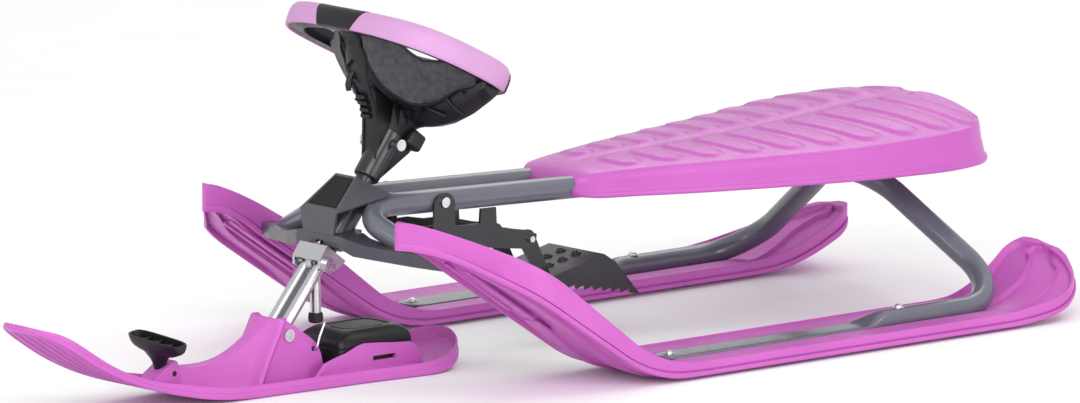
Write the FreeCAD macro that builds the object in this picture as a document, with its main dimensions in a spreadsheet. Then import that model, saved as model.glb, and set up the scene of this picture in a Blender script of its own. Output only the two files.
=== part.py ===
import FreeCAD, Part
import os
from math import radians, sin, cos, tan, atan2, degrees, sqrt, pi
from FreeCAD import Vector as V, Placement, Rotation

doc = FreeCAD.newDocument("steering_sled")
sheet = doc.addObject("Spreadsheet::Sheet", "sizes")

SIZES = [
    # rear skis
    ("ski_inner_y", 131.0), ("ski_outer_y", 243.0), ("ski_floor", 4.5), ("ski_wall", 4.0),
    ("ski_wall_height", 15.5), ("ski_tail_x", -588.0), ("ski_tip_x", 219.0),
    ("ski_rise_deg", 33.5), ("ski_rise_radius", 150.0), ("ski_rise_start", -57.0),
    ("ski_tail_radius", 210.0), ("ski_tail_start", -470.0), ("ski_line_y", 192.0),
    # frame tubes
    ("tube_radius", 11.0), ("tube_bore", 9.6), ("tube_y", 29.5), ("tube_z", 163.0),
    ("leg_x", -475.0), ("leg_z", 126.0), ("tube_fall", 0.0372), ("knee_x", -512.0), ("foot_z", 16.2), ("foot_end", -350.0),
    ("strip_width", 25.0), ("strip_gauge", 4.0), ("strip_end", -55.0),
    # head
    ("rake_deg", 37.0), ("axis_x", 165.1), ("axis_z", 153.0),
    ("head_radius", 14.0), ("head_bore", 11.5), ("shaft_radius", 9.0), ("bush_gap", 0.04),
    ("sheet_gauge", 2.5),
    # front ski
    ("nose_x", 588.0), ("tail_x", 45.0), ("sole", 5.0), ("pivot_x", 255.0), ("pivot_z", 50.0),
    ("pivot_radius", 4.0), ("slot_half", 16.2), ("pylon_half", 22.0), ("rim_height", 12.0),
    # strut
    ("strut_tube", 5.5), ("strut_spread", 10.0), ("fork_x", 204.4), ("fork_z", 111.0),
    # retractor
    ("box_x", 155.0), ("box_half", 32.0), ("box_length", 90.0), ("spool_radius", 25.0),
    ("spool_width", 15.0), ("axle_radius", 4.0),
    # tow handle
    ("handle_x", 398.5), ("handle_lean", 8.0), ("stem_radius", 6.0), ("bar_length", 78.0),
    # seat
    ("seat_wall", 3.5), ("seat_lip", 140.0), ("seat_crown", 204.0), ("seat_nose", 171.0),
    # brake
    ("brake_x", -40.0), ("brake_z", 109.0), ("brake_pin", 3.0), ("plate_half", 40.0),
    # wheel
    ("rim_front", 86.7), ("rim_half", 114.8), ("rim_band", 22.4), ("rim_depth", 20.0), ("rim_x", 99.6), ("rim_z", 304.3), ("rim_slope", 26.5),
    ("rivet_radius", 3.0), ("bolt_radius", 3.0),
]
for i, (name, value) in enumerate(SIZES, 1):
    sheet.set("A%d" % i, name)
    sheet.set("B%d" % i, str(value))
    sheet.setAlias("B%d" % i, name)
doc.recompute()


def S(name):
    return float(getattr(sheet, name))


OUT = {}


def node(label, obj):
    obj.Label = label
    OUT[label] = obj
    return obj


def uid(base):
    return "w_" + base


def bind(obj, **expr):
    for prop, e in expr.items():
        obj.setExpression(prop, e)
    return obj


def cyl(name, r, h, base, direction=V(0, 0, 1)):
    """Cylinder; r and h are a sheet expression or a number."""
    o = doc.addObject("Part::Cylinder", name)
    for prop, v in (("Radius", r), ("Height", h)):
        if isinstance(v, str):
            o.setExpression(prop, v)
        else:
            setattr(o, prop, v)
    o.Placement = Placement(base, Rotation(V(0, 0, 1), direction))
    return o


def block(name, lx, ly, lz, corner, rot=None):
    o = doc.addObject("Part::Box", name)
    for prop, v in (("Length", lx), ("Width", ly), ("Height", lz)):
        if isinstance(v, str):
            o.setExpression(prop, v)
        else:
            setattr(o, prop, v)
    o.Placement = Placement(corner, rot or Rotation())
    return o


def cut(name, a, *tools):
    res = a
    for k, t in enumerate(tools):
        o = doc.addObject("Part::Cut", "%s_%d" % (name, k))
        o.Base, o.Tool = res, t
        res = o
    return res


def fuse(name, *objs):
    o = doc.addObject("Part::MultiFuse", name)
    o.Shapes = list(objs)
    o.Refine = False
    return o


def common(name, *objs):
    o = doc.addObject("Part::MultiCommon", name)
    o.Shapes = list(objs)
    return o


def seg(pts):
    """Outline from a list: (x, y) corners, or ('arc', (mx, my), (x, y)) through a middle point."""
    geo = []
    cur = None
    first = None
    for p in pts:
        if p[0] == "arc":
            geo.append(Part.Arc(V(cur[0], cur[1], 0), V(p[1][0], p[1][1], 0), V(p[2][0], p[2][1], 0)))
            cur = p[2]
        else:
            if cur is not None and (abs(cur[0] - p[0]) > 1e-6 or abs(cur[1] - p[1]) > 1e-6):
                geo.append(Part.LineSegment(V(cur[0], cur[1], 0), V(p[0], p[1], 0)))
            cur = p
        if first is None:
            first = cur
    if abs(cur[0] - first[0]) > 1e-6 or abs(cur[1] - first[1]) > 1e-6:
        geo.append(Part.LineSegment(V(cur[0], cur[1], 0), V(first[0], first[1], 0)))
    return geo


def pad(name, plane, pts, length, place=None, sym=False, holes=()):
    """Body with one sketch on an origin plane, padded. XZ pads run to -Y, so sketch y is z."""
    body = doc.addObject("PartDesign::Body", name)
    role = {"XY": "XY_Plane", "XZ": "XZ_Plane", "YZ": "YZ_Plane"}[plane]
    sk = body.newObject("Sketcher::SketchObject", name + "_sketch")
    sk.AttachmentSupport = [([f for f in body.Origin.OriginFeatures if f.Role == role][0], "")]
    sk.MapMode = "FlatFace"
    for g in seg(pts):
        sk.addGeometry(g, False)
    for (hx, hy, hr) in holes:
        sk.addGeometry(Part.Circle(V(hx, hy, 0), V(0, 0, 1), hr), False)
    p = body.newObject("PartDesign::Pad", name + "_pad")
    p.Profile = sk
    if isinstance(length, str):
        p.setExpression("Length", length)
    else:
        p.Length = length
    if sym:
        p.Midplane = True
    body.Tip = p
    if place is not None:
        body.Placement = place
    return body


def moved(v):
    return Placement(v, Rotation())


def mirror_y(name, src):
    o = doc.addObject("Part::Mirroring", name)
    o.Source = src
    o.Normal = V(0, 1, 0)
    o.Base = V(0, 0, 0)
    return o


def wire_feature(name, pts, radii):
    """Spine: corner points joined by straight runs with tangent arcs of the given radii."""
    edges = []
    prev = pts[0]
    for i in range(1, len(pts) - 1):
        p, a, b = pts[i], pts[i - 1], pts[i + 1]
        d1, d2 = (p - a).normalize(), (b - p).normalize()
        ang = d1.getAngle(d2)
        t = radii[i - 1] * tan(ang / 2)
        s, e = p - d1 * t, p + d2 * t
        bis = (d2 - d1).normalize()
        c = p + bis * (radii[i - 1] / cos(ang / 2))
        m = c - bis * radii[i - 1]
        edges.append(Part.LineSegment(prev, s).toShape())
        edges.append(Part.Arc(s, m, e).toShape())
        prev = e
    edges.append(Part.LineSegment(prev, pts[-1]).toShape())
    f = doc.addObject("Part::Feature", name)
    f.Shape = Part.Wire(edges)
    return f


def sweep(name, spine, radius_expr, start, direction):
    c = doc.addObject("Part::Circle", name + "_ring")
    c.setExpression("Radius", radius_expr) if isinstance(radius_expr, str) else setattr(c, "Radius", radius_expr)
    c.Placement = Placement(start, Rotation(V(0, 0, 1), direction))
    s = doc.addObject("Part::Sweep", name)
    s.Sections = [c]
    s.Spine = (spine, ["Edge%d" % (k + 1) for k in range(len(spine.Shape.Edges))])
    s.Solid = True
    s.Frenet = False
    s.Transition = "Right corner"
    return s


def facet(points, normal_in, gauge):
    """Sheet facet: flat polygon thickened inward."""
    f = Part.Face(Part.makePolygon(points + [points[0]]))
    return f.extrude(normal_in * gauge)


# ---------------------------------------------------------------- axes
rk = radians(S("rake_deg"))
AX = V(-sin(rk), 0, cos(rk))                       # steering axis, upward
AXP = V(cos(rk), 0, sin(rk))                       # across it, forward and up


def on_axis(z):
    k = (z - S("axis_z")) / AX.z
    return V(S("axis_x") + AX.x * k, 0, z)


TILT = Rotation(V(0, 1, 0), -S("rake_deg"))        # local Z along the steering axis

# ---------------------------------------------------------------- rear skis
a = radians(S("ski_rise_deg"))
Rr, x0 = S("ski_rise_radius"), S("ski_rise_start")
Hw = S("ski_wall_height")
Rt, xt = S("ski_tail_radius"), S("ski_tail_start")


def ski_line(off):
    """Lower line of the ski lifted by off square to it: tail to tip, as outline pieces."""
    R1, R2 = Rr - off, Rt - off
    xe = S("ski_tail_x") - 8
    dx = xt - xe
    zt = lambda d: off + R2 - sqrt(R2 * R2 - d * d)
    ex, ez = x0 + R1 * sin(a), off + R1 * (1 - cos(a))
    # straight rise to the start of the tip roll-over
    run = 222.0
    sx, sz = ex + run * cos(a), ez + run * sin(a)
    R3 = 30.0 + off
    tx, tz = sx + R3 * sin(a), sz + R3 * (1 - cos(a))
    return [(xe, zt(dx)),
            ("arc", (xt - dx / 2, zt(dx / 2)), (xt, off)),
            (x0, off),
            ("arc", (x0 + R1 * sin(a / 2), off + R1 * (1 - cos(a / 2))), (ex, ez)),
            (sx, sz),
            ("arc", (sx + R3 * (sin(a) - sin(a / 2)), sz + R3 * (cos(a / 2) - cos(a))), (tx, tz)),
            (tx + 60, tz)]


def top_line(up):
    """Upper edge of the ski walls, lifted by up: low along the flat, taller on the rise."""
    h = Hw + up
    xe = S("ski_tail_x") - 8
    R2 = 230.0 - up
    d = xt + 20 - xe
    zt = lambda k: h + R2 - sqrt(R2 * R2 - k * k)
    R1 = 150.0 - up
    t1, t2 = radians(37), radians(26)
    x1 = -75.0
    e1 = (x1 + R1 * sin(t1), h + R1 * (1 - cos(t1)))
    e2 = (e1[0] + 85.0, e1[1] + 85.0 * tan(t1))
    R4 = 428.0 + up
    e3 = (e2[0] + R4 * (sin(t1) - sin(t2)), e2[1] + R4 * (cos(t2) - cos(t1)))
    m3 = (e2[0] + R4 * (sin(t1) - sin(radians(31.5))), e2[1] + R4 * (cos(radians(31.5)) - cos(t1)))
    e4 = (e3[0] + 36.0, e3[1] + 36.0 * tan(t2))
    R5 = 60.0 + up
    e5 = (e4[0] + R5 * sin(t2), e4[1] + R5 * (1 - cos(t2)))
    m5 = (e4[0] + R5 * (sin(t2) - sin(t2 / 2)), e4[1] + R5 * (cos(t2 / 2) - cos(t2)))
    return [(xe, zt(d)), ("arc", (xt + 20 - d / 2, zt(d / 2)), (xt + 20, h)), (x1, h),
            ("arc", (x1 + R1 * sin(t1 / 2), h + R1 * (1 - cos(t1 / 2))), e1), e2, ("arc", m3, e3), e4, ("arc", m5, e5),
            (e5[0] + 60, e5[1])]


def back_line(pieces):
    """The same run of pieces walked the other way."""
    pts = [pieces[0]] + [p if p[0] != "arc" else p for p in pieces[1:]]
    ends, kinds = [], []
    for p in pts:
        if p[0] == "arc":
            ends.append(p[2]); kinds.append(p[1])
        else:
            ends.append(p); kinds.append(None)
    out = [ends[-1]]
    for i in range(len(ends) - 1, 0, -1):
        out.append(("arc", kinds[i], ends[i - 1]) if kinds[i] else ends[i - 1])
    return out


def band(lo, up):
    return ski_line(lo) + back_line(top_line(up))


def ski_plan(w):
    """Plan of the left ski, inset by w: slanting tip, tail turned a little inward."""
    yi, yo = S("ski_inner_y") + w, S("ski_outer_y") - w
    xa, xb = S("ski_tail_x"), S("ski_tip_x")
    nx, ny = 0.797 * w, 0.605 * w                  # square to the slanting tip edge
    ta, tb = (xb - nx, 140.0 - ny), (xb - 56.0 - nx, 214.0 - ny)
    return [(-478.0, yi), (xb - 16.0 - w, yi), ("arc", (ta[0] - 4.5, yi + 1.0), ta), tb,
            ("arc", (xb - 77.0 - 0.3 * w, 233.5 - 0.95 * w), (xb - 111.0, yo)), (xa + 80.0, yo),
            ("arc", (xa + 33.0 + 0.5 * w, 232.0 - 0.85 * w), (xa + 10.0 + 0.9 * w, 203.0 - 0.4 * w)),
            ("arc", (xa + w, 172.0), (xa + 2.5 + 0.95 * w, 141.0 + 0.3 * w)),
            ("arc", (xa + 14.0 + 0.6 * w, 119.5 + 0.8 * w), (xa + 40.0, 117.0 + w)), (-478.0, yi)]


def rear_ski():
    b1 = pad(uid("ski_side"), "XZ", band(0.0, 0.0), 150.0, moved(V(0, 260, 0)))
    b2 = pad(uid("ski_plan"), "XY", ski_plan(0.0), 260.0, moved(V(0, 0, -20)))
    shell = common(uid("ski_blank"), b1, b2)
    i1 = pad(uid("ski_hollow_side"), "XZ", band(S("ski_floor"), 14.0), 150.0, moved(V(0, 260, 0)))
    i2 = pad(uid("ski_hollow_plan"), "XY", ski_plan(S("ski_wall")), 260.0, moved(V(0, 0, -20)))
    hollow = common(uid("ski_hollow"), i1, i2)
    tray = cut(uid("ski_tray"), shell, hollow)
    # bolt hole through the floor under the foot, and screw hole in the inner wall at the crossbar end
    hole = cyl(uid("ski_bolt_bore"), "sizes.bolt_radius + 0.05", 40.0, V(BOLT_X, S("ski_line_y"), -10))
    hole2 = cyl(uid("ski_bar_bore"), "sizes.bolt_radius + 0.05", 30.0, V(BAR_END_X, 150, BAR_END_Z), V(0, -1, 0))
    hole3 = cyl(uid("ski_strip_bore"), "sizes.bolt_radius + 0.05", 40.0, V(STRIP_BOLT_X, S("ski_line_y"), -10))
    return cut(uid("ski_drilled"), tray, hole, hole2, hole3)


BOLT_X = -363.0
STRIP_BOLT_X = -74.0
BAR_END_X, BAR_END_Z = 150.0, 121.0

ski_l = rear_ski()
node("rear_ski_left", ski_l)
node("rear_ski_right", mirror_y("ski_r", ski_l))

# ---------------------------------------------------------------- frame tubes
P0 = V(140, 92, 128)
P1 = V(165, S("tube_y"), S("tube_z"))
P2 = V(S("leg_x"), S("tube_y"), S("leg_z"))
P3 = V(S("knee_x"), S("ski_line_y"), S("foot_z"))
PM = V(-380, S("tube_y"), S("tube_z") - S("tube_fall") * 545)
P4 = V(S("foot_end"), S("ski_line_y"), S("foot_z"))
spine = wire_feature("tube_spine", [P0, P1, PM, P2, P3, P4], [38.0, 150.0, 50.0, 55.0])
d0 = P1 - P0
outer = sweep("tube_outer", spine, "sizes.tube_radius", P0, d0)
inner = sweep("tube_inner", spine, "sizes.tube_bore", P0, d0)
tube = cut("tube_wall", outer, inner)
# flattened foot: wedge from the round end, then strip lying on the ski floor
yl, zf, sw, sg = S("ski_line_y"), S("foot_z"), S("strip_width"), S("strip_gauge")
zb = S("ski_floor") + 0.15
wedge = pad("foot_wedge", "XZ",
            [(-352, zb), (-318, zb), (-318, zb + sg), ("arc", (-340, zb + 8.5), (-352, zf + 10.6))],
            2 * S("tube_bore"), moved(V(0, yl + S("tube_bore"), 0)))
strip = pad("foot_strip", "XY",
            [(-330, yl - sw / 2), (S("strip_end") - sw / 2, yl - sw / 2),
             ("arc", (S("strip_end"), yl), (S("strip_end") - sw / 2, yl + sw / 2)), (-330, yl + sw / 2)],
            "sizes.strip_gauge", moved(V(0, 0, zb)))
plug = cyl("foot_plug", "sizes.tube_bore", 26.0, V(-376, yl, zf), V(1, 0, 0))
tube_all = fuse("tube_body", tube, plug, wedge, strip)
drill = cyl("foot_bore", "sizes.bolt_radius + 0.05", 60.0, V(BOLT_X, yl, -10))
drill2 = cyl("strip_bore", "sizes.bolt_radius + 0.05", 60.0, V(STRIP_BOLT_X, yl, -10))
# rivet and strap bores through the straight run
RIV_X = 80.0
RIV_Z = 159.8
rv = cyl("hanger_bore", "sizes.rivet_radius + 0.05", 70.0, V(RIV_X, -10, RIV_Z), V(0, 1, 0))
STRAP = [-170.0, -420.0]


def tube_line_z(x):
    return S("tube_z") - S("tube_fall") * (165 - x)


tube_l = cut("tube_drilled", tube_all, drill, drill2, rv)
node("frame_tube_left", tube_l)
node("frame_tube_right", mirror_y("tube_r", tube_l))

# ---------------------------------------------------------------- crossbar
half_plan = [(198, 0), (198, 34), (190, 58), (172, 105), (159, 130.6), (140, 130.6), (150, 105),
             (166, 62), (171.5, 42), (166, 17), (158, 14), (158, 0)]
plan = half_plan + [(x, -y) for (x, y) in reversed(half_plan[1:-1])]
bar_plan = pad("bar_plan", "XY", plan, 60.0, moved(V(0, 0, 100)))
front_view = [(-132, 114), (-44, 121), (-30, 127), (30, 127), (44, 121), (132, 114), (132, 126.5), (60, 131.5), (30, 138.5), (-30, 138.5),
              (-60, 131.5), (-132, 126.5)]
bar_view = pad("bar_view", "YZ", front_view, 120.0, moved(V(120, 0, 0)))
bar = common("bar_blank", bar_plan, bar_view)
bar_bore = cyl("bar_bore", "sizes.head_radius", 120.0, on_axis(90), AX)
bar_screw = [cyl("bar_tap_%d" % k, "sizes.bolt_radius + 0.05", 40.0, V(BAR_END_X, s * 98, BAR_END_Z), V(0, s, 0))
             for k, s in enumerate((1, -1))]
node("front_crossbar", cut("bar_cut", bar, bar_bore, *bar_screw))

scr = []
for k, s in enumerate((1, -1)):
    shank = cyl("bar_screw_shank_%d" % k, "sizes.bolt_radius", 36.8, V(BAR_END_X, s * 98.5, BAR_END_Z), V(0, s, 0))
    hd = cyl("bar_screw_head_%d" % k, 6.0, 3.5, V(BAR_END_X, s * 135.2, BAR_END_Z), V(0, s, 0))
    scr.append(fuse("bar_screw_%d" % k, shank, hd))
grp = doc.addObject("Part::Compound", "bar_screws")
grp.Links = scr
node("crossbar_screws", grp)

# ---------------------------------------------------------------- head
head_len = 66.0
hb = on_axis(126)
ht = cyl("head_outer", "sizes.head_radius", head_len, hb, AX)
hi = cyl("head_inner", "sizes.head_bore", head_len + 20, hb - AX * 10, AX)
node("head_tube", cut("head_cut", ht, hi))
for nm, z in (("head_bush_lower", hb), ("head_bush_upper", hb + AX * (head_len - 14))):
    o = cyl(nm + "_o", "sizes.head_bore", 14.0, z, AX)
    i = cyl(nm + "_i", "sizes.shaft_radius + sizes.bush_gap", 14.2, z - AX * 0.1, AX)
    node(nm, cut(nm + "_cut", o, i))

# cross piece welded between the tubes behind the head tube
web = block("web_block", 46.0, 36.8, 14.0, V(118, -18.4, 155))
webc = cut("web_cut", web, cyl("web_bore", "sizes.head_radius", 140.0, on_axis(90), AX))
node("head_web", webc)

# hood: sloping face, a facet each side down to the tube tops
g = S("sheet_gauge")
A1, A2 = V(165, 15, 190), V(165, -15, 190)
B1, B2 = V(200, 26, 160), V(200, -26, 160)
C1, C2 = V(146, 44, 175), V(146, -44, 175)
nf = (B1 - A1).cross(A2 - A1).normalize()
if nf.x > 0:
    nf = nf * -1
ns = (B1 - A1).cross(C1 - A1).normalize()
if ns.y > 0:
    ns = ns * -1
nm_ = V(ns.x, -ns.y, ns.z)
hood = facet([A1, A2, B2, B1], nf, g).fuse(facet([A1, B1, C1], ns, g)).fuse(facet([A2, C2, B2], nm_, g))
# front lip turned down onto the crossbar
lip = Part.Face(Part.makePolygon([V(200, 26, 160), V(200, -26, 160), V(200, -22, 139), V(200, 22, 139), V(200, 26, 160)])).extrude(V(-g, 0, 0))
hood = hood.fuse(lip)
hd_f = doc.addObject("Part::Feature", "hood_shape")
hd_f.Shape = hood
head_clear = cyl("hood_clear", "sizes.head_radius + 0.2", 140.0, on_axis(90), AX)
tube_clear = sweep("hood_tube_clear", spine, "sizes.tube_radius + 0.3", P0, d0)
node("head_plate", cut("hood_cut", hd_f, head_clear, tube_clear, mirror_y("hood_tube_clear_r", tube_clear)))
# plain panel laid on the sloping face
nfo = nf * -1


def on_face(u, v):
    top = A1 + (A2 - A1) * ((u + 1) / 2)
    bot = B1 + (B2 - B1) * ((u + 1) / 2)
    return top + (bot - top) * v


lp = [on_face(-0.8, 0.07), on_face(0.8, 0.07), on_face(0.82, 0.86), on_face(-0.82, 0.86)]
lab = doc.addObject("Part::Feature", "panel_shape")
lab.Shape = Part.Face(Part.makePolygon(lp + [lp[0]])).extrude(nfo * 0.8)
node("head_panel", lab)

# ---------------------------------------------------------------- ski bolts
bolts, nuts = [], []
for k, (bx, s, top) in enumerate([(BOLT_X, 1, zf + 11.0), (BOLT_X, -1, zf + 11.0),
                                  (STRIP_BOLT_X, 1, zb + sg), (STRIP_BOLT_X, -1, zb + sg)]):
    y = s * yl
    sh = cyl("ski_bolt_shank_%d" % k, "sizes.bolt_radius", top - 0.6, V(bx, y, 0.6))
    cap = doc.addObject("Part::Sphere", "ski_bolt_cap_%d" % k)
    cap.Radius, cap.Angle1 = 5.5, 0
    cap.Placement = moved(V(bx, y, top + 0.2))
    cap2 = common("ski_bolt_dome_%d" % k, cap, cyl("ski_bolt_disc_%d" % k, 5.5, 3.2, V(bx, y, top + 0.2)))
    sh2 = cyl("ski_bolt_neck_%d" % k, "sizes.bolt_radius", 1.0, V(bx, y, top - 0.5))
    bolts.append(fuse("ski_bolt_%d" % k, sh, sh2, cap2))
g1 = doc.addObject("Part::Compound", "ski_bolt_group")
g1.Links = bolts
node("ski_bolts", g1)

# ---------------------------------------------------------------- seat
# sections of the shell: station, half width, lip height, shoulder height, crown height
SEAT = [(-93, 30, 149, 166, 168.5), (-104, 50, 148, 167.5, 171), (-120, 61, 147.5, 168, 172), (-213, 90, 145, 169.5, 175),
        (-366, 128, 142, 173, 181.5), (-448, 141.5, 141, 176, 187.5), (-480, 143, 140.5, 177, 189.5), (-514, 136.5, 140, 177.5, 191),
        (-548, 114, 140, 176, 189), (-568, 76, 140, 171, 182), (-577, 32, 140, 160, 168)]


def seat_loft(name, w, drop):
    ws = []
    for i, (x, hw, zl_, zs, zc) in enumerate(SEAT):
        xx = x - w if i == 0 else (x + w if i == len(SEAT) - 1 else x)
        hw, zl2, zs, zc = hw - w, zl_ - drop, zs - w * 0.8, zc - w
        a_, b_, c_, d_ = V(xx, -hw, zl2), V(xx, hw, zl2), V(xx, hw * 0.985, zs), V(xx, -hw * 0.985, zs)
        up1, up2 = V(xx, hw * 0.90, zs + (zc - zs) * 0.42), V(xx, -hw * 0.90, zs + (zc - zs) * 0.42)
        ws.append(Part.Wire([Part.makeLine(a_, b_), Part.makeLine(b_, c_), Part.makeLine(c_, up1),
                             Part.Arc(up1, V(xx, 0, zc), up2).toShape(), Part.makeLine(up2, d_), Part.makeLine(d_, a_)]))
    f = doc.addObject("Part::Feature", name)
    sh = Part.makeLoft(ws, True, True)
    if sh.Volume < 0:
        sh = sh.reversed()
    f.Shape = sh
    return f


seat_o = seat_loft("seat_outer", 0.0, 0.0)
seat_i = seat_loft("seat_inner", S("seat_wall"), 20.0)
seat_h = cut("seat_shell_cut", seat_o, seat_i)
# tubes pass through notches in the nose
notch = []
for k, s in enumerate((1, -1)):
    notch.append(cyl("seat_notch_%d" % k, "sizes.tube_radius + 0.3", 60.0, V(-70, s * S("tube_y"), tube_line_z(-70)),
                     V(-1, 0, -S("tube_fall"))))
    notch.append(block("seat_slot_%d" % k, 60.0, 22.6, 20.0, V(-130, s * S("tube_y") - 11.3, tube_line_z(-100) - 20)))
boss = []
pilot = []
for k, (x, hw) in enumerate(((-170.0, 60.0), (-420.0, 110.0))):
    zt = tube_line_z(x) + S("tube_radius") + 3.7
    for j, s in enumerate((1, -1)):
        boss.append(cyl("seat_boss_%d%d" % (k, j), 6.5, 60.0, V(x, s * (hw - 12), zt)))
        pilot.append(cyl("seat_pilot_%d%d" % (k, j), "sizes.bolt_radius + 0.05", 10.0, V(x, s * (hw - 12), zt - 1)))
bosses = common("seat_bosses", fuse("seat_boss_all", *boss), seat_o)
node("seat_shell", cut("seat_cut", fuse("seat_sum", seat_h, bosses), *(notch + pilot)))

# straps under the seat, over the tubes, with a lug each side up to the shell
strap_scr = []
for nm, x, hw in (("seat_strap_front", -170.0, 60.0), ("seat_strap_rear", -420.0, 110.0)):
    zt = tube_line_z(x) + S("tube_radius") + 0.55
    b = block(nm + "_bar", 24.0, 2 * hw, 3.0, V(x - 12, -hw, zt))
    ins = [cyl(nm + "_bore_%d" % k, "sizes.bolt_radius + 0.05", 30.0, V(x, s * (hw - 12), zt - 10)) for k, s in enumerate((1, -1))]
    node(nm, cut(nm + "_cut", b, *ins))
    for k, s in enumerate((1, -1)):
        sh = cyl("%s_screw_%d" % (nm, k), "sizes.bolt_radius", 9.0, V(x, s * (hw - 12), zt - 0.2))
        h_ = cyl("%s_head_%d" % (nm, k), 5.5, 3.0, V(x, s * (hw - 12), zt - 3.2))
        strap_scr.append(fuse("%s_scr_%d" % (nm, k), sh, h_))
g2 = doc.addObject("Part::Compound", "seat_screw_group")
g2.Links = strap_scr
node("seat_screws", g2)

# ---------------------------------------------------------------- brake hanger
bx, bz = S("brake_x"), S("brake_z")
cheeks = []
for k, s in enumerate((1, -1)):
    c = pad("hanger_cheek_%d" % k, "XZ", [(94, 135.5), (66, 135.5), (46, 131.5), (23, 131.0), (22, 145.0), (3, 144.5), (2, 126.0),
                                          (-16, 121.5), (bx + 4, bz + 9), (bx - 8, bz + 4), (bx - 7, bz - 7),
                                          (bx + 5, bz - 9), (-5, 104.0), (30, 109.0), (70, 116.5), (94, 124.0)],
            2.5, moved(V(0, s * 27.25 + 1.25, 0)))
    cheeks.append(c)
    ear = pad("hanger_ear_%d" % k, "XZ", [(67, 126.0), (93, 126.0), (93, 156.0), ("arc", (80, 169.0), (67, 156.0))], 2.4,
              moved(V(0, s * 42.2 + 1.2, 0)))
    foot = block("hanger_foot_%d" % k, 24.0, 18.0, 2.4, V(68, (26.0 if s > 0 else -44.0) - (0.6 if s > 0 else -0.6), 126.0))
    cheeks += [ear, foot]
roof = block("hanger_roof", 28.0, 57.0, 2.4, V(-14, -28.5, 113.0))
roof2 = block("hanger_roof2", 30.0, 57.0, 2.4, V(64, -28.5, 126.0))
hang = fuse("hanger_all", roof, roof2, *cheeks)
hang = cut("hanger_drilled", hang,
           cyl("hanger_pin_bore", "sizes.brake_pin", 80.0, V(bx, -40, bz), V(0, 1, 0)),
           cyl("hanger_rivet_bore", "sizes.rivet_radius + 0.05", 120.0, V(RIV_X, -60, RIV_Z), V(0, 1, 0)))
node("brake_hanger", hang)
node("brake_pin", cyl("brake_pin_rod", "sizes.brake_pin", 64.0, V(bx, -32, bz), V(0, 1, 0)))
rvs = []
for k, s in enumerate((1, -1)):
    rs = cyl("hang_rivet_shank_%d" % k, "sizes.rivet_radius", 27.0, V(RIV_X, s * 16.6, RIV_Z), V(0, s, 0))
    rh = cyl("hang_rivet_head_%d" % k, 5.0, 2.0, V(RIV_X, s * 43.5, RIV_Z), V(0, s, 0))
    rvs.append(fuse("hang_rivet_%d" % k, rs, rh))
g3 = doc.addObject("Part::Compound", "hanger_rivet_group")
g3.Links = rvs
node("hanger_rivets", g3)

# ---------------------------------------------------------------- brake plate
ph = S("plate_half")
dz_dx = (84.5 - 68.5) / (-123.0 + 50.0)
tread = pad("brake_tread", "XZ", [(-50, 70.5), (-123, 86.5), (-123, 84.0), (-50, 68.0)], 2 * ph, moved(V(0, ph, 0)))
wings = []
teeth = []
n = 8
for i in range(n):
    f0, f1 = i / n, (i + 1) / n
    xa, za = -77 + (-168 + 77) * f0, 58.5 + (43 - 58.5) * f0
    xb, zc = -77 + (-168 + 77) * f1, 58.5 + (43 - 58.5) * f1
    teeth.append((xa, za))
    if i < n - 1:
        teeth.append((xb + 1.5, zc + 5.0))
for k, s in enumerate((1, -1)):
    wings.append(pad("brake_wing_%d" % k, "XZ",
                     [(-50, 70.5), (-123, 86.5), (-138, 77), (-168, 43)] + list(reversed(teeth)) + [(-52, 62)],
                     2.5, moved(V(0, s * (ph - 1.25) + 1.25, 0))))
    wings.append(pad("brake_arm_%d" % k, "XZ",
                     [(-50, 68.2), (-68, 72.2), (-56, 96), (bx - 8, bz + 4), ("arc", (bx, bz + 8.5), (bx + 8, bz + 3)), (bx + 7, bz - 8), (-44, 84)],
                     2.5, moved(V(0, s * 23.5 + 1.25, 0))))
brk = fuse("brake_all", tread, *wings)
dim = []
for i in range(3):
    for s in (1, -1):
        xx = -78 - 17.0 * i
        dim.append(cyl("dimple_%d_%d" % (i, s), 3.0, 20.0, V(xx, s * 11, 60)))
brk = cut("brake_drilled", brk, cyl("brake_bore", "sizes.brake_pin + 0.05", 80.0, V(bx, -40, bz), V(0, 1, 0)), *dim)
node("brake_plate", brk)
sp_o = cyl("brake_coil_o", 6.5, 18.0, V(bx, -9, bz), V(0, 1, 0))
sp_i = cyl("brake_coil_i", "sizes.brake_pin + 0.8", 20.0, V(bx, -10, bz), V(0, 1, 0))
node("brake_spring", cut("brake_coil", sp_o, sp_i))

# ---------------------------------------------------------------- steering
sl = 178.0
sb = on_axis(118.5)
shaft = cyl("shaft_rod", "sizes.shaft_radius", sl, sb, AX)
hub_p = on_axis(216)
shaft_x = cut("shaft_drilled", shaft, cyl("shaft_cross", "sizes.bolt_radius + 0.05", 60.0, hub_p + V(0, -30, 0), V(0, 1, 0)))
node("steering_shaft", shaft_x)

# wheel: closed oval rim with two grips, bowl-shaped hub and three spokes; all about the steering axis
WR = S("rim_slope")                                           # slope of the rim plane
wr = radians(WR)
FW = V(cos(wr), 0, sin(wr))                                   # rim plane, forward
UP = V(-sin(wr), 0, cos(wr))                                  # rim plane normal
WROT = Rotation(V(0, 1, 0), -WR)
RIMC = V(S("rim_x"), 0, S("rim_z"))                           # middle of the rim


def rim_pt(u, y, n):
    """Point given in the rim's own plane: forward, left, up."""
    return RIMC + FW * u + V(0, y, 0) + UP * n


def rim_plan(o):
    """Squarish oval of the rim in its own plane, inset by o, as a chain of arcs."""
    ha, hb, e = S("rim_front") - o, S("rim_half") - o, 2.0 / 2.82
    pts = []
    for k in range(33):
        c, d = cos(2 * pi * k / 32), sin(2 * pi * k / 32)
        pts.append((ha * (1 if c >= 0 else -1) * abs(c) ** e, hb * (1 if d >= 0 else -1) * abs(d) ** e))
    pts[32] = pts[0]
    return [pts[0]] + [("arc", pts[k - 1], pts[k]) for k in range(2, 33, 2)]


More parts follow.
